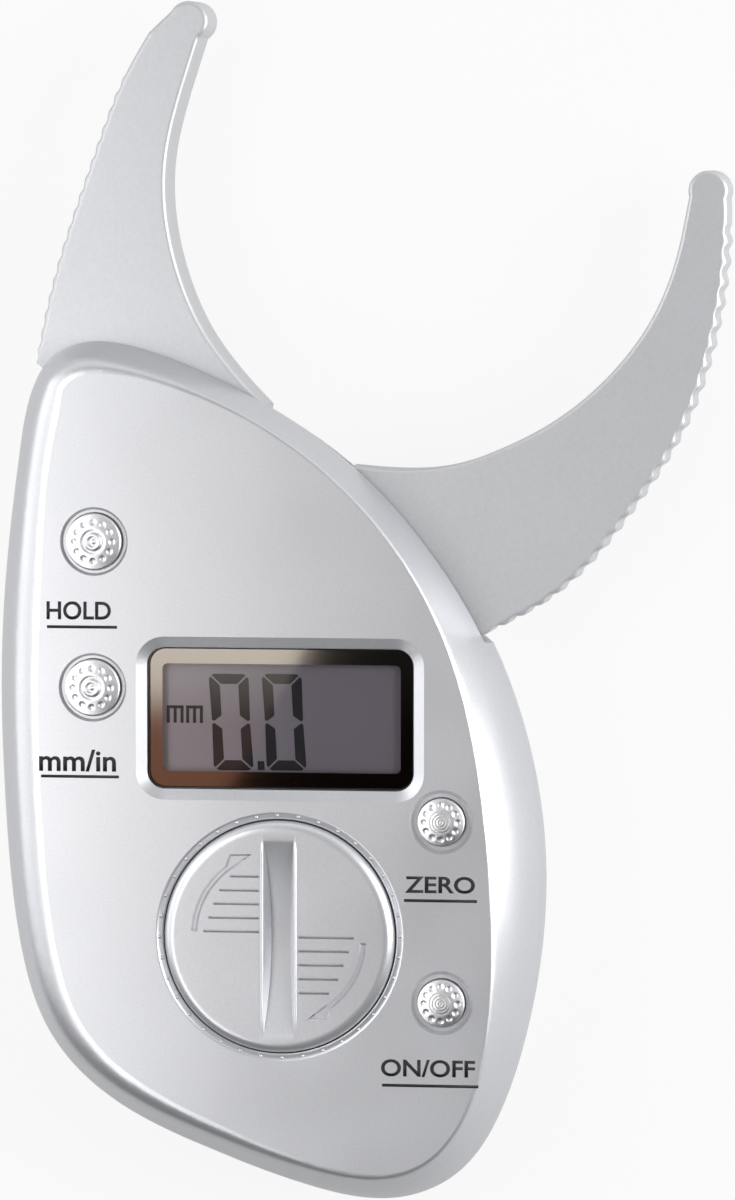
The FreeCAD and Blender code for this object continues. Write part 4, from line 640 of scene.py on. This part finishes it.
# screen ink without gloss, over the edge of the metallised film
dull_print = make_grained("black_screen_print", "#060607", "#0B0B0C", size=0.3, gloss=(0.6, 0.7))
make_border("lens_edge_line", LINE_OUTSIDE, LINE_INSIDE, dull_print)
coat(make_lcd_glass(), "lcd_panel")
# lit liquid crystal between its polarisers: nearly black
lit_bar = make_grained("liquid_crystal_dark", "#0C0A14", "#1A1218", size=2.0, gloss=(0.6, 0.7))
make_lcd_bars(lit_bar)
# black ABS, moulded with a fine matt texture
black_abs = make_grained(
    "black_abs", "#121214", "#1B1B1E", size=0.4, gloss=(0.42, 0.55), relief=0.01,
)
coat(black_abs, "lcd_frame")

STRIPE = 0.4 * MM           # pitch of the contacts
WAVE_LENGTH = 0.314         # a wave texture repeats after this many units


def make_zebra_rubber():
    """Carbon and clear silicone in turn, one stripe to each contact of the glass."""
    made, tree = new_material("striped_contact_rubber")
    place = add_node(tree, "TexCoord").outputs["Object"]
    stripes = add_node(tree, "TexWave", {"Vector": place, "Scale": WAVE_LENGTH / STRIPE})
    striped = add_node(tree, "ValToRGB", {"Fac": stripes.outputs["Fac"]},
                       stops=[(0.4, "#151515"), (0.6, "#6E6C68")])
    shader = add_node(tree, "BsdfPrincipled", {
        "Base Color": striped.outputs["Color"],
        "Roughness": 0.6,
    })
    add_node(tree, "OutputMaterial", {"Surface": shader.outputs["BSDF"]})
    return made


coat(make_zebra_rubber(), "zebra_strips")


# ---------------------------------------------------------------------------------------------
# Board: glass-fibre laminate under green solder mask, with a chip, small ceramic parts and four
# tact switches, screwed to three posts of the rear shell.
# ---------------------------------------------------------------------------------------------

# solder mask: glossy green lacquer over the tracks
solder_mask = make_grained(
    "green_solder_mask", "#0E4A2A", "#176238", size=1.5, gloss=(0.22, 0.34), relief=0.01,
)
coat(solder_mask, "main_board")
# filled epoxy: black with a dusty texture
epoxy = make_grained(
    "moulded_epoxy", "#1A1A1B", "#262627", size=0.2, gloss=(0.5, 0.65), relief=0.01,
)
coat(epoxy, "controller_chip")
# fired ceramic: brown and matt
ceramic = make_grained(
    "fired_ceramic", "#8A6A4A", "#A88862", size=0.6, gloss=(0.35, 0.5), relief=0.005,
)
coat(ceramic, "board_components")
# tinned steel sheet, stamped: bright with faint rolling marks
switch_can = make_grained(
    "stamped_steel_can", "#A5A6A8", "#BDBEC0", size=0.5, gloss=(0.25, 0.4), metal=1.0,
    relief=0.004,
)
coat(switch_can, "tact_switches")
coat(black_abs, "hold_plunger", "units_plunger", "zero_plunger", "power_plunger")


# ---------------------------------------------------------------------------------------------
# Buttons: ABS caps with satin chrome plating, each pressed onto the plunger of its switch and
# kept in by a flange. Twelve ball dimples and a turned middle give the finger something to find.
# ---------------------------------------------------------------------------------------------

FACE = 22.0
CEILING = 20.0              # inside of the front shell, which keeps the flange in
CAP_RIM = FACE + 0.45
CROWN = 0.35
CAP_TOP = CAP_RIM + CROWN
CAP_ROUND = 0.2
CAP_SIDE_TOP = CAP_RIM - 0.25
CAP_GAP = 0.12
CROWN_STEP = 0.06
FLANGE_REACH = 0.9          # past the edge of the hole
FLANGE_FOOT = CEILING - 0.9
FLANGE_TOP = CEILING - 0.1
STEM_RADIUS = 1.3
STEM_CHAMFER = 0.1
DIMPLES = 12
DIMPLE_RADIUS = 0.36
DIMPLE_DEPTH = 0.11
# the turned middle: how far out its rings reach, half their depth, and their spacing
COARSE_RINGS = (1.5, 0.055, 0.75)
FINE_RINGS = (1.3, 0.012, 0.33)
# place, diameter of the cap, diameter of the circle of dimples, rings
BUTTONS = {
    "hold": ((-22.3, 3.4), 6.3, 4.3, COARSE_RINGS),
    "units": ((-22.5, -12.95), 6.3, 4.3, COARSE_RINGS),
    "zero": ((16.85, -27.55), 5.3, 3.8, FINE_RINGS),
    "power": ((16.85, -47.8), 5.3, 3.8, FINE_RINGS),
}


def cap_height(radius, angle, cap, circle, rings):
    """Height of the cap's top: crown, ball dimples and turned rings."""
    edge = cap / 2 - CAP_ROUND
    crown = (edge**2 + CROWN**2) / (2 * CROWN)
    height = CAP_TOP - crown + math.sqrt(crown**2 - radius**2)
    spacing = 2 * math.pi / DIMPLES
    off = (angle + spacing / 2) % spacing - spacing / 2
    away = math.sqrt(radius**2 + circle**2 / 4 - radius * circle * math.cos(off))
    if away < DIMPLE_RADIUS:
        height -= DIMPLE_DEPTH * (1 - (away / DIMPLE_RADIUS) ** 2) ** 0.8
    reach, half_depth, ring_spacing = rings
    if radius < reach:
        height -= half_depth * (1 - math.cos(2 * math.pi * radius / ring_spacing))
    return height


def make_button(name, place, cap, circle, rings, material):
    """Stem, flange and cap, turned about the button's axis, then the relief of its top."""
    side = cap / 2
    edge = side - CAP_ROUND
    flange = side + CAP_GAP + FLANGE_REACH
    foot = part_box(f"{name}_button")[0].z / MM
    profile = [
        (0, foot), (STEM_RADIUS - STEM_CHAMFER, foot), (STEM_RADIUS, foot + STEM_CHAMFER),
        (STEM_RADIUS, FLANGE_FOOT), (flange, FLANGE_FOOT), (flange, FLANGE_TOP),
        (side, FLANGE_TOP), (side, CAP_SIDE_TOP),
    ]
    profile += [
        (side - CAP_ROUND * (1 - math.cos(t)), CAP_RIM - CAP_ROUND + CAP_ROUND * math.sin(t))
        for t in np.linspace(0.2, 1.4, 5)
    ]
    profile += [(r, CAP_TOP) for r in np.arange(edge, 0.01, -CROWN_STEP)]
    points, faces = turned(profile + [(0, CAP_TOP)], 144, place)
    shaped = []
    for x, y, z in points:
        away = math.hypot(x - place[0], y - place[1])
        if z >= CAP_TOP:
            z = cap_height(away, math.atan2(y - place[1], x - place[0]), cap, circle, rings)
        shaped.append((x, y, z))
    made = make_mesh_piece(
        f"{name}_cap", shaped, faces, material, f"button_{name}", "bright_button", 40
    )
    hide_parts(f"{name}_button")


# satin electroplate over plastic: bright, slightly blurred, with a fine grain
satin_chrome = make_grained(
    "satin_chrome_plate", "#DDDDE0", "#E8E8EA", size=0.2, gloss=(0.36, 0.42), metal=1.0,
    detail=2.0,
)
for button_name, facts in BUTTONS.items():
    make_button(button_name, *facts, satin_chrome)


# ---------------------------------------------------------------------------------------------
# Battery bay: a coin cell between two sprung contacts, a rubber ring, and a painted cover that a
# coin turns. Small moulded pips in the ring round the cover show how far it has turned.
# ---------------------------------------------------------------------------------------------

BAY = (-1.4, -40.65)
RING_FLOOR = 21.5
RING_INSIDE = 13.17
RING_OUTSIDE = 14.0
RING_SKIN = 0.02            # how thick the ring is at its inner edge, and how far it is sunk
PIPS = 36
PIP_CIRCLE = 13.62
PIP_START = 1.0             # degrees
PIP_RADIUS = 0.22
PIP_HEIGHT = 0.2
PIP_SUNK = 0.04
PIP_ROOT = 0.1


def ring_level(radius):
    """Height of the soft slope that runs from the face down to the cover's edge."""
    share = (RING_OUTSIDE - radius) / (RING_OUTSIDE - RING_INSIDE)
    low = RING_FLOOR + RING_SKIN
    return low + (FACE - low) * (1 + math.cos(math.pi * share)) / 2


def make_ring():
    """The sloping ring round the cover with its moulded pips."""
    sunk = RING_FLOOR - RING_SKIN
    profile = [(RING_INSIDE, sunk), (RING_OUTSIDE, sunk)]
    profile += [(r, ring_level(r)) for r in np.linspace(RING_OUTSIDE, RING_INSIDE, 12)]
    points, faces = turned(profile, 180, BAY)
    foot = ring_level(PIP_CIRCLE) - PIP_SUNK
    pip_profile = [(0, foot - PIP_ROOT), (PIP_RADIUS, foot - PIP_ROOT)]
    pip_profile += [
        (PIP_RADIUS * math.cos(t), foot + PIP_HEIGHT * math.sin(t))
        for t in np.linspace(0, math.pi / 2, 5)[:-1]
    ]
    pip_profile.append((0, foot + PIP_HEIGHT))
    for k in range(PIPS):
        place = on_circle(PIP_CIRCLE, 360 * k / PIPS + PIP_START, BAY)
        more, sides = turned(pip_profile, 16, place)
        faces += [tuple(n + len(points) for n in side) for side in sides]
        points += more
    make_mesh_piece("bay_ring", points, faces, satin_paint, "housing", "silver_shell")


make_ring()

COVER_RADIUS = 13.0
COVER_FOOT = 21.55
COVER_TOP = 22.6
COVER_ROUND = (1.15, 0.95)  # across and down
ROUND_START = 0.05          # the rounding leaves the side at this angle
TOP_MARGIN = 0.15           # a flat strip inside the rounding keeps the top's shading flat
PLATE_FOOT = 20.1
SKIRT = (10.6, 11.8)        # inside and outside
SKIRT_FOOT = 18.4
LUG_INSIDE = 11.2
LUG_REACH = 12.6
LUG_WIDTH = 3.0
LUG_HEIGHT = 1.2
SLOT_HALF = 10.95
SLOT_RUN = 1.01             # the cutter is this much longer than the slot
SLOT_ROWS = 49
SLOT_DEPTH = 2.0
SLOT_TOP = 1.68             # half width at the top
SLOT_DRAFT = 0.3            # how much narrower for each millimetre down
SLOT_OVER = 0.5             # how far the cutter stands above the cover
LIP_PLACE = 1.88            # middle of the raised lip on either side of the slot
LIP_HALF = 0.2
LIP_HEIGHT = 0.17
LIP_REACH = 10.9
LIP_SUNK = 0.03
LIP_ROOT = 0.3
MARK_START = 2.4
MARK_TOP = (0.24, 0.13)     # how far the groove opens below and above its line
MARK_FLOOR = 0.07
MARK_DEPTH = 0.5
MARK_OVER = 0.1
# level of each engraved line and where it ends
LEFT_MARKS = [(6.85, -5.3), (5.28, -6.5), (3.76, -7.2), (2.19, -7.75), (0.65, -8.3)]
RIGHT_MARKS = [(0.1, 8.3), (-1.44, 7.75), (-3.0, 7.15), (-4.57, 6.55), (-6.15, 5.5)]
# the curved arrow: radius, first and last angle of its two long edges, then its barb and notch
ARROW_OUTER = (9.95, 177, 127)
ARROW_INNER = (9.2, 122, 177)
ARROW_BARB = [(-5.5, 9.25), (-2.9, 9.3)]
ARROW_NOTCH = (9.4, 115)
ARROW_WALLS = [(0.26, -0.3), (-0.11, 0.12)]     # inset and height of the cutter's foot and top


def loft_faces(count, rows):
    """Faces of a closed solid from equal rows of points, with both ends filled."""
    numbers = [list(range(k * count, (k + 1) * count)) for k in range(rows)]
    faces = [tuple(numbers[0][::-1]), tuple(numbers[-1])]
    for lower, upper in zip(numbers, numbers[1:]):
        faces += ring_faces(lower, upper)
    return faces


def slot_tool():
    """A coin-shaped cutter: deepest in the middle, its walls leaning out."""
    points = []
    for share in np.linspace(-SLOT_RUN, SLOT_RUN, SLOT_ROWS):
        floor = -SLOT_DEPTH * (1 - share**2)
        for side, high in [(-1, SLOT_OVER), (-1, floor), (1, floor), (1, SLOT_OVER)]:
            wide = SLOT_TOP + SLOT_DRAFT * high
            points.append((side * wide, share * SLOT_HALF, COVER_TOP + high))
    return points, [face[::-1] for face in loft_faces(4, SLOT_ROWS)]


def groove_tool(level, end):
    """One engraved line from beside the slot to its outer end, its walls leaning."""
    start = math.copysign(MARK_START, end)
    points = []
    for below, above, high in [(MARK_FLOOR, MARK_FLOOR, -MARK_DEPTH), (*MARK_TOP, MARK_OVER)]:
        left, right = min(start, end) - below, max(start, end) + below
        points += [
            (x, level + y, COVER_TOP + high)
            for x, y in [(left, -below), (right, -below), (right, above), (left, above)]
        ]
    return points, loft_faces(4, 2)


def arrow_tool(turn):
    """A curved arrow with one barb, cut as a shallow band with leaning walls."""
    outer, inner = [
        [on_circle(radius, a) for a in np.linspace(first, last, 26)]
        for radius, first, last in (ARROW_OUTER, ARROW_INNER)
    ]
    barb = [np.array(corner) for corner in ARROW_BARB]
    line = np.array(outer + barb + [on_circle(*ARROW_NOTCH)] + inner)[::-1]
    tangent = np.roll(line, -1, axis=0) - np.roll(line, 1, axis=0)
    tangent /= np.linalg.norm(tangent, axis=1)[:, None]
    inward = np.column_stack([-tangent[:, 1], tangent[:, 0]])
    swing = math.radians(turn)
    spin = np.array([[math.cos(swing), math.sin(swing)], [-math.sin(swing), math.cos(swing)]])
    points = []
    for inset, high in ARROW_WALLS:
        points += [(x, y, COVER_TOP + high) for x, y in (line + inward * inset) @ spin]
    return points, loft_faces(len(line), 2)


def ridge_tool(place):
    """The thin raised lip along one side of the slot, tapered at both ends."""
    turns = np.linspace(0, math.pi, 9)
    points = []
    for y in np.linspace(-1, 1, 25):
        size = math.sqrt(max(0.02, 1 - abs(y) ** 16))
        for t in turns:
            across = place + LIP_HALF * size * math.cos(t)
            high = LIP_HEIGHT * size * math.sin(t) - LIP_SUNK
            points.append((across, y * LIP_REACH, COVER_TOP + high))
        points.append((place, y * LIP_REACH, COVER_TOP - LIP_ROOT))
    return points, [face[::-1] for face in loft_faces(len(turns) + 1, 25)]


def lug_tool(side):
    """One bayonet lug at the foot of the skirt."""
    inside, outside = side * LUG_INSIDE, side * LUG_REACH
    low, high = min(inside, outside), max(inside, outside)
    half = LUG_WIDTH / 2
    points = [
        (x, y, SKIRT_FOOT + z) for z in (0, LUG_HEIGHT)
        for x, y in [(low, -half), (high, -half), (high, half), (low, half)]
    ]
    return points, loft_faces(4, 2)


def joined(shapes):
    """Several shapes as one, moved to the battery bay."""
    points, faces = [], []
    for more, sides in shapes:
        faces += [tuple(n + len(points) for n in side) for side in sides]
        points += [(x + BAY[0], y + BAY[1], z) for x, y, z in more]
    return points, faces


round_wide, round_deep = COVER_ROUND
cover_profile = [
    (0, PLATE_FOOT), (SKIRT[0], PLATE_FOOT), (SKIRT[0], SKIRT_FOOT), (SKIRT[1], SKIRT_FOOT),
    (SKIRT[1], COVER_FOOT), (COVER_RADIUS, COVER_FOOT),
]
cover_profile += [
    (COVER_RADIUS - round_wide * (1 - math.cos(t)), COVER_TOP - round_deep * (1 - math.sin(t)))
    for t in np.linspace(ROUND_START, math.pi / 2, 12)
]
cover_profile += [(COVER_RADIUS - round_wide - TOP_MARGIN, COVER_TOP), (0, COVER_TOP)]
cover = make_mesh_piece(
    "engraved_cover", *turned(cover_profile, 256, BAY), satin_paint, "battery_lid", "silver_cover"
)
added = joined([ridge_tool(-LIP_PLACE), ridge_tool(LIP_PLACE), lug_tool(-1), lug_tool(1)])
carve(cover, added, "UNION")
cut = [slot_tool(), arrow_tool(0), arrow_tool(180)]
cut += [groove_tool(*mark) for mark in LEFT_MARKS + RIGHT_MARKS]
carve(cover, joined(cut))
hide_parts("battery_cover")

# nickel plate over steel: bright, faintly warm
nickel = make_grained(
    "nickel_plated_cell", "#B4B4B3", "#CCCCCB", size=0.6, gloss=(0.2, 0.3), metal=1.0,
    relief=0.004,
)
coat(nickel, "battery_cell")
# rolled brass strip: yellow, softly blurred
brass = make_grained(
    "sprung_brass", "#B48E49", "#CFAA61", size=0.6, gloss=(0.22, 0.34), metal=1.0, relief=0.004,
)
coat(brass, "battery_positive_contact", "battery_negative_contact")
# moulded silicone: black with a dull skin
black_silicone = make_grained(
    "black_silicone", "#111112", "#1A1A1B", size=0.5, gloss=(0.5, 0.62), relief=0.005,
)
coat(black_silicone, "battery_seal")

# painted shade: a thin ring of black silicone stands in for the shade in the deep gap round the
# cover, drawn as the lip of the sealing ring; it shows as a thin black line
GAP_SHADE_INSIDE = 12.85
GAP_SHADE_OUTSIDE = RING_INSIDE + 0.02
GAP_SHADE_FOOT = RING_FLOOR - 0.01
GAP_SHADE_TOP = RING_FLOOR + 0.035
# painted shade of the gap between the cover and its ring
lip = turned([
    (GAP_SHADE_INSIDE, GAP_SHADE_FOOT), (GAP_SHADE_OUTSIDE, GAP_SHADE_FOOT), (GAP_SHADE_OUTSIDE, GAP_SHADE_TOP),
    (GAP_SHADE_INSIDE, GAP_SHADE_TOP),
], 180, BAY)
make_mesh_piece("painted_gap_shade", *lip, black_silicone, "battery_seal_ring", "seal_rubber")


# ---------------------------------------------------------------------------------------------
# Words: one thin coat of black pad-printing ink beside each button, underlined. The silicone pad
# lays it down even and without gloss.
# ---------------------------------------------------------------------------------------------

INK = 0.015
UNDERLINE = 0.33
STROKE_SWELL = 0.02         # makes the letters' strokes a little bolder
# text, its upper left and lower right corners, and the underline's ends and middle
WORDS = {
    "hold": ("HOLD", (-27.7, -3.31), (-20.38, -5.37), (-27.65, -19.7, -6.18)),
    "units": ("mm/in", (-28.6, -19.93), (-19.85, -22.41), (-28.38, -19.51, -22.96)),
    "zero": ("ZERO", (12.78, -33.62), (20.63, -35.51), (12.67, 20.86, -36.35)),
    "power": ("ON/OFF", (10.08, -54.17), (20.65, -56.11), (10.2, 20.99, -57.1)),
}


def make_word(name, text, top_left, low_right, line, material):
    """The word, stretched to its place, with its underline, as one thin layer."""
    curve = bpy.data.curves.new(name, "FONT")
    curve.body = text
    curve.size = 1.0
    curve.offset = STROKE_SWELL
    curve.resolution_u = 6
    written = bpy.data.objects.new(name, curve)
    bpy.context.scene.collection.objects.link(written)
    graph = bpy.context.evaluated_depsgraph_get()
    graph.update()
    letters = bpy.data.meshes.new_from_object(written.evaluated_get(graph))
    bpy.data.objects.remove(written)
    spots = np.array([v.co[:2] for v in letters.vertices])
    low, high = spots.min(axis=0), spots.max(axis=0)
    size = np.array([low_right[0] - top_left[0], top_left[1] - low_right[1]])
    spots = (spots - low) / (high - low) * size + np.array([top_left[0], low_right[1]])
    points = [(x, y, FACE + INK) for x, y in spots]
    faces = [tuple(face.vertices) for face in letters.polygons]
    left, right, middle = line
    first = len(points)
    for x, y in [(left, -1), (right, -1), (right, 1), (left, 1)]:
        points.append((x, middle + y * UNDERLINE / 2, FACE + INK))
    faces.append(tuple(range(first, first + 4)))
    made = make_mesh_piece(f"{name}_word", points, faces, material, "housing", "silver_shell")
    thick = made.modifiers.new("coat", "SOLIDIFY")
    thick.thickness = INK
    thick.offset = -1
    return made


ink = make_grained(
    "black_pad_ink", "#0C0C0E", "#151517", size=0.3, gloss=(0.6, 0.7), relief=0.002,
)
for word_name, facts in WORDS.items():
    make_word(word_name, *facts, ink)


# ---------------------------------------------------------------------------------------------
# Studio: the caliper lies on white paper in a white room, lit by two softboxes and a screen.
# Paper and walls look plain white; most light comes from the far side, and mirrors show that.
# ---------------------------------------------------------------------------------------------

FLOOR_CORNERS = [(-1500, -1500), (1500, 1500)]
FLOOR_LEVEL = -0.05
WHITE_SHARE = 0.88          # share of plain white in what the eye sees of the floor
MIRROR_NEAR = (-0.09, 0.02)     # the same for what mirrors show of it, nearer than this and
MIRROR_FAR = (-0.055, 0.5)      # farther than this: y, and the share


def add_stage(name, corners, height, material):
    """A flat rectangle that isn't part of the object, from two opposite corners."""
    (left, near), (right, far) = corners
    outline = [(left, near), (right, near), (right, far), (left, far)]
    made = make_mesh_piece(name, [(x, y, height) for x, y in outline], [(0, 1, 2, 3)], material)
    return made


def seen_directly(tree, mirror_share):
    """1 where a camera, mirror or see-through ray meets the surface, 0 where light only lands."""
    path = add_node(tree, "LightPath")
    mirrored = add_node(tree, "Math", {
        0: path.outputs["Is Glossy Ray"], 1: path.outputs["Is Transmission Ray"],
    }, operation="MAXIMUM")
    dimmed = add_node(tree, "Math", {0: mirrored.outputs[0], 1: mirror_share}, operation="MULTIPLY")
    return add_node(tree, "Math", {
        0: path.outputs["Is Camera Ray"], 1: dimmed.outputs[0],
    }, operation="MAXIMUM").outputs[0]


def make_white_floor():
    """White paper: nearly plain white to the eye, and dimmer in mirrors towards the near end."""
    made, tree = new_material("white_paper")
    place = add_node(tree, "TexCoord").outputs["Object"]
    along = add_node(tree, "SeparateXYZ", {"Vector": place})
    mirrored = add_node(tree, "MapRange", {
        "Value": along.outputs["Y"], "From Min": MIRROR_NEAR[0], "From Max": MIRROR_FAR[0],
        "To Min": MIRROR_NEAR[1], "To Max": MIRROR_FAR[1],
    })
    share = add_node(tree, "Math", {
        0: seen_directly(tree, mirrored.outputs["Result"]), 1: WHITE_SHARE,
    }, operation="MULTIPLY")
    lit = add_node(tree, "BsdfDiffuse", {"Color": linear("#C8C8C8")})
    glow = add_node(tree, "Emission", {"Color": linear("#FFFFFF"), "Strength": 1.0})
    both = add_node(tree, "MixShader", {0: share.outputs[0], 1: lit.outputs[0], 2: glow.outputs[0]})
    add_node(tree, "OutputMaterial", {"Surface": both.outputs[0]})
    return made


add_stage("floor", FLOOR_CORNERS, FLOOR_LEVEL, make_white_floor())

ROOM_LIGHT = 0.68
CEILING_LIGHT = 0.3         # what mirrors see straight overhead; the walls are white
CEILING_EDGE = (0.35, 0.85)     # between these heights the walls turn into the ceiling
NEAR_LIGHT = 0.06           # share of the light that the near side gives
NEAR_EDGE = (-0.5, 0.05)    # it grows to all of it between these
world = bpy.data.worlds.new("studio")
bpy.context.scene.world = world
world.use_nodes = True
room = world.node_tree
room.nodes.clear()
direction = add_node(room, "TexCoord").outputs["Generated"]
parts = add_node(room, "SeparateXYZ", {"Vector": direction}).outputs
ceiling = add_node(room, "MapRange", {
    "Value": parts["Z"], "From Min": CEILING_EDGE[0], "From Max": CEILING_EDGE[1],
    "To Min": 1.0, "To Max": CEILING_LIGHT,
}, interpolation_type="SMOOTHSTEP")
depth = add_node(room, "MapRange", {
    "Value": parts["Y"], "From Min": NEAR_EDGE[0], "From Max": NEAR_EDGE[1],
    "To Min": NEAR_LIGHT, "To Max": 1.0,
}, interpolation_type="SMOOTHSTEP")
level = add_node(room, "Mix", {
    0: seen_directly(room, 1.0), 2: ROOM_LIGHT, 3: ceiling.outputs["Result"],
}, data_type="FLOAT")
level = add_node(room, "Math", {
    0: level.outputs[0], 1: depth.outputs["Result"],
}, operation="MULTIPLY")
eye = add_node(room, "LightPath").outputs["Is Camera Ray"]
level = add_node(room, "Math", {0: level.outputs[0], 1: eye}, operation="MAXIMUM")
sky = add_node(room, "Background", {"Color": linear("#FFFFFF"), "Strength": level.outputs[0]})
add_node(room, "OutputWorld", {"Surface": sky.outputs[0]})

# place, point it faces, size and power, in metres and watts
LAMPS = {
    "left_softbox": ((-0.10, -0.035, 0.22), (0.0, -0.03, 0.015), (0.28, 0.06), 0.19),
    "left_screen": ((-0.23, 0.02, 0.14), (-0.03, -0.01, 0.015), (0.28, 0.22), 0.23),
    "right_softbox": ((0.36, 0.04, 0.20), (0.0, -0.005, 0.015), (0.26, 0.44), 1.9),
}


def add_lamp(name, place, aim, size, power):
    """A rectangular softbox that faces a point."""
    data = bpy.data.lights.new(name, "AREA")
    data.shape = "RECTANGLE"
    data.size, data.size_y = size
    data.energy = power
    lamp = bpy.data.objects.new(name, data)
    lamp.location = place
    lamp.rotation_euler = (Vector(aim) - Vector(place)).to_track_quat("-Z", "Y").to_euler()
    bpy.context.scene.collection.objects.link(lamp)


for lamp_name, facts in LAMPS.items():
    add_lamp(lamp_name, *facts)

# Glowing card over the left of the object, seen only by mirrors and lighting nothing: a painted
# reflection, cream, then brown towards the near end, and black on its right. The window's border
# shows it.
CARD_HEIGHT = 271.5
CARD_CORNERS = [(-70.0, -60.0), (-10.0, -14.0)]
CARD_LEAN = -0.554          # the black part's edge leans by this much sideways for each unit of y
BLACK_EDGE = (-21.8, -20.2)
CARD_GLOW = (3.2, 0.03)     # left and right of that edge
BROWN_TO_CREAM = (-38.0, -31.0)


def make_painted_reflection_card():
    """Painted reflection: brown and cream paint that glows, up to the leaning edge of the black
    part.
    """
    made, tree = new_material("painted_reflection_glow")
    place = add_node(tree, "TexCoord").outputs["Object"]
    along = add_node(tree, "SeparateXYZ", {"Vector": place})
    slant = add_node(tree, "Math", {0: along.outputs["Y"], 1: CARD_LEAN}, operation="MULTIPLY")
    across = add_node(tree, "Math", {0: along.outputs["X"], 1: slant.outputs[0]}, operation="ADD")
    edge = add_node(tree, "MapRange", {
        "Value": across.outputs[0],
        "From Min": BLACK_EDGE[0] * MM, "From Max": BLACK_EDGE[1] * MM,
        "To Min": CARD_GLOW[0], "To Max": CARD_GLOW[1],
    })
    tone = add_node(tree, "MapRange", {
        "Value": along.outputs["Y"],
        "From Min": BROWN_TO_CREAM[0] * MM, "From Max": BROWN_TO_CREAM[1] * MM,
    })
    # painted reflection: brown at the near end, cream beyond
    painted = add_node(tree, "ValToRGB", {"Fac": tone.outputs["Result"]},
                       stops=[(0.0, "#74503F"), (1.0, "#D8D0C4")])
    glow = add_node(tree, "Emission", {
        "Color": painted.outputs["Color"], "Strength": edge.outputs["Result"],
    })
    add_node(tree, "OutputMaterial", {"Surface": glow.outputs[0]})
    return made


card = add_stage("painted_reflection_card", CARD_CORNERS, CARD_HEIGHT, make_painted_reflection_card())
card.visible_camera = False
card.visible_diffuse = False
card.visible_transmission = False
card.visible_shadow = False

# The camera looks down on the face, a little from the right and from above.
CAMERA_YAW = math.radians(8.0)
CAMERA_PITCH = math.radians(3.75)
CAMERA_AWAY = 760 * MM
AIM = Vector((8.5611, -2.8654, 22.0)) * MM
SENSOR = 36.0
FOCAL_LENGTH = 205.2
towards = Vector((
    math.sin(CAMERA_YAW) * math.cos(CAMERA_PITCH),
    math.sin(CAMERA_PITCH),
    math.cos(CAMERA_YAW) * math.cos(CAMERA_PITCH),
))
lens = bpy.data.cameras.new("camera")
lens.sensor_fit = "VERTICAL"
lens.sensor_height = SENSOR
lens.lens = FOCAL_LENGTH
lens.clip_start = 0.01
camera = bpy.data.objects.new("camera", lens)
camera.location = AIM + towards * CAMERA_AWAY
rightwards = Vector((0, 1, 0)).cross(towards).normalized()
upwards = towards.cross(rightwards)
camera.rotation_euler = Matrix((rightwards, upwards, towards)).transposed().to_euler()
bpy.context.scene.collection.objects.link(camera)
bpy.context.scene.camera = camera
bpy.context.scene.view_settings.view_transform = "Standard"
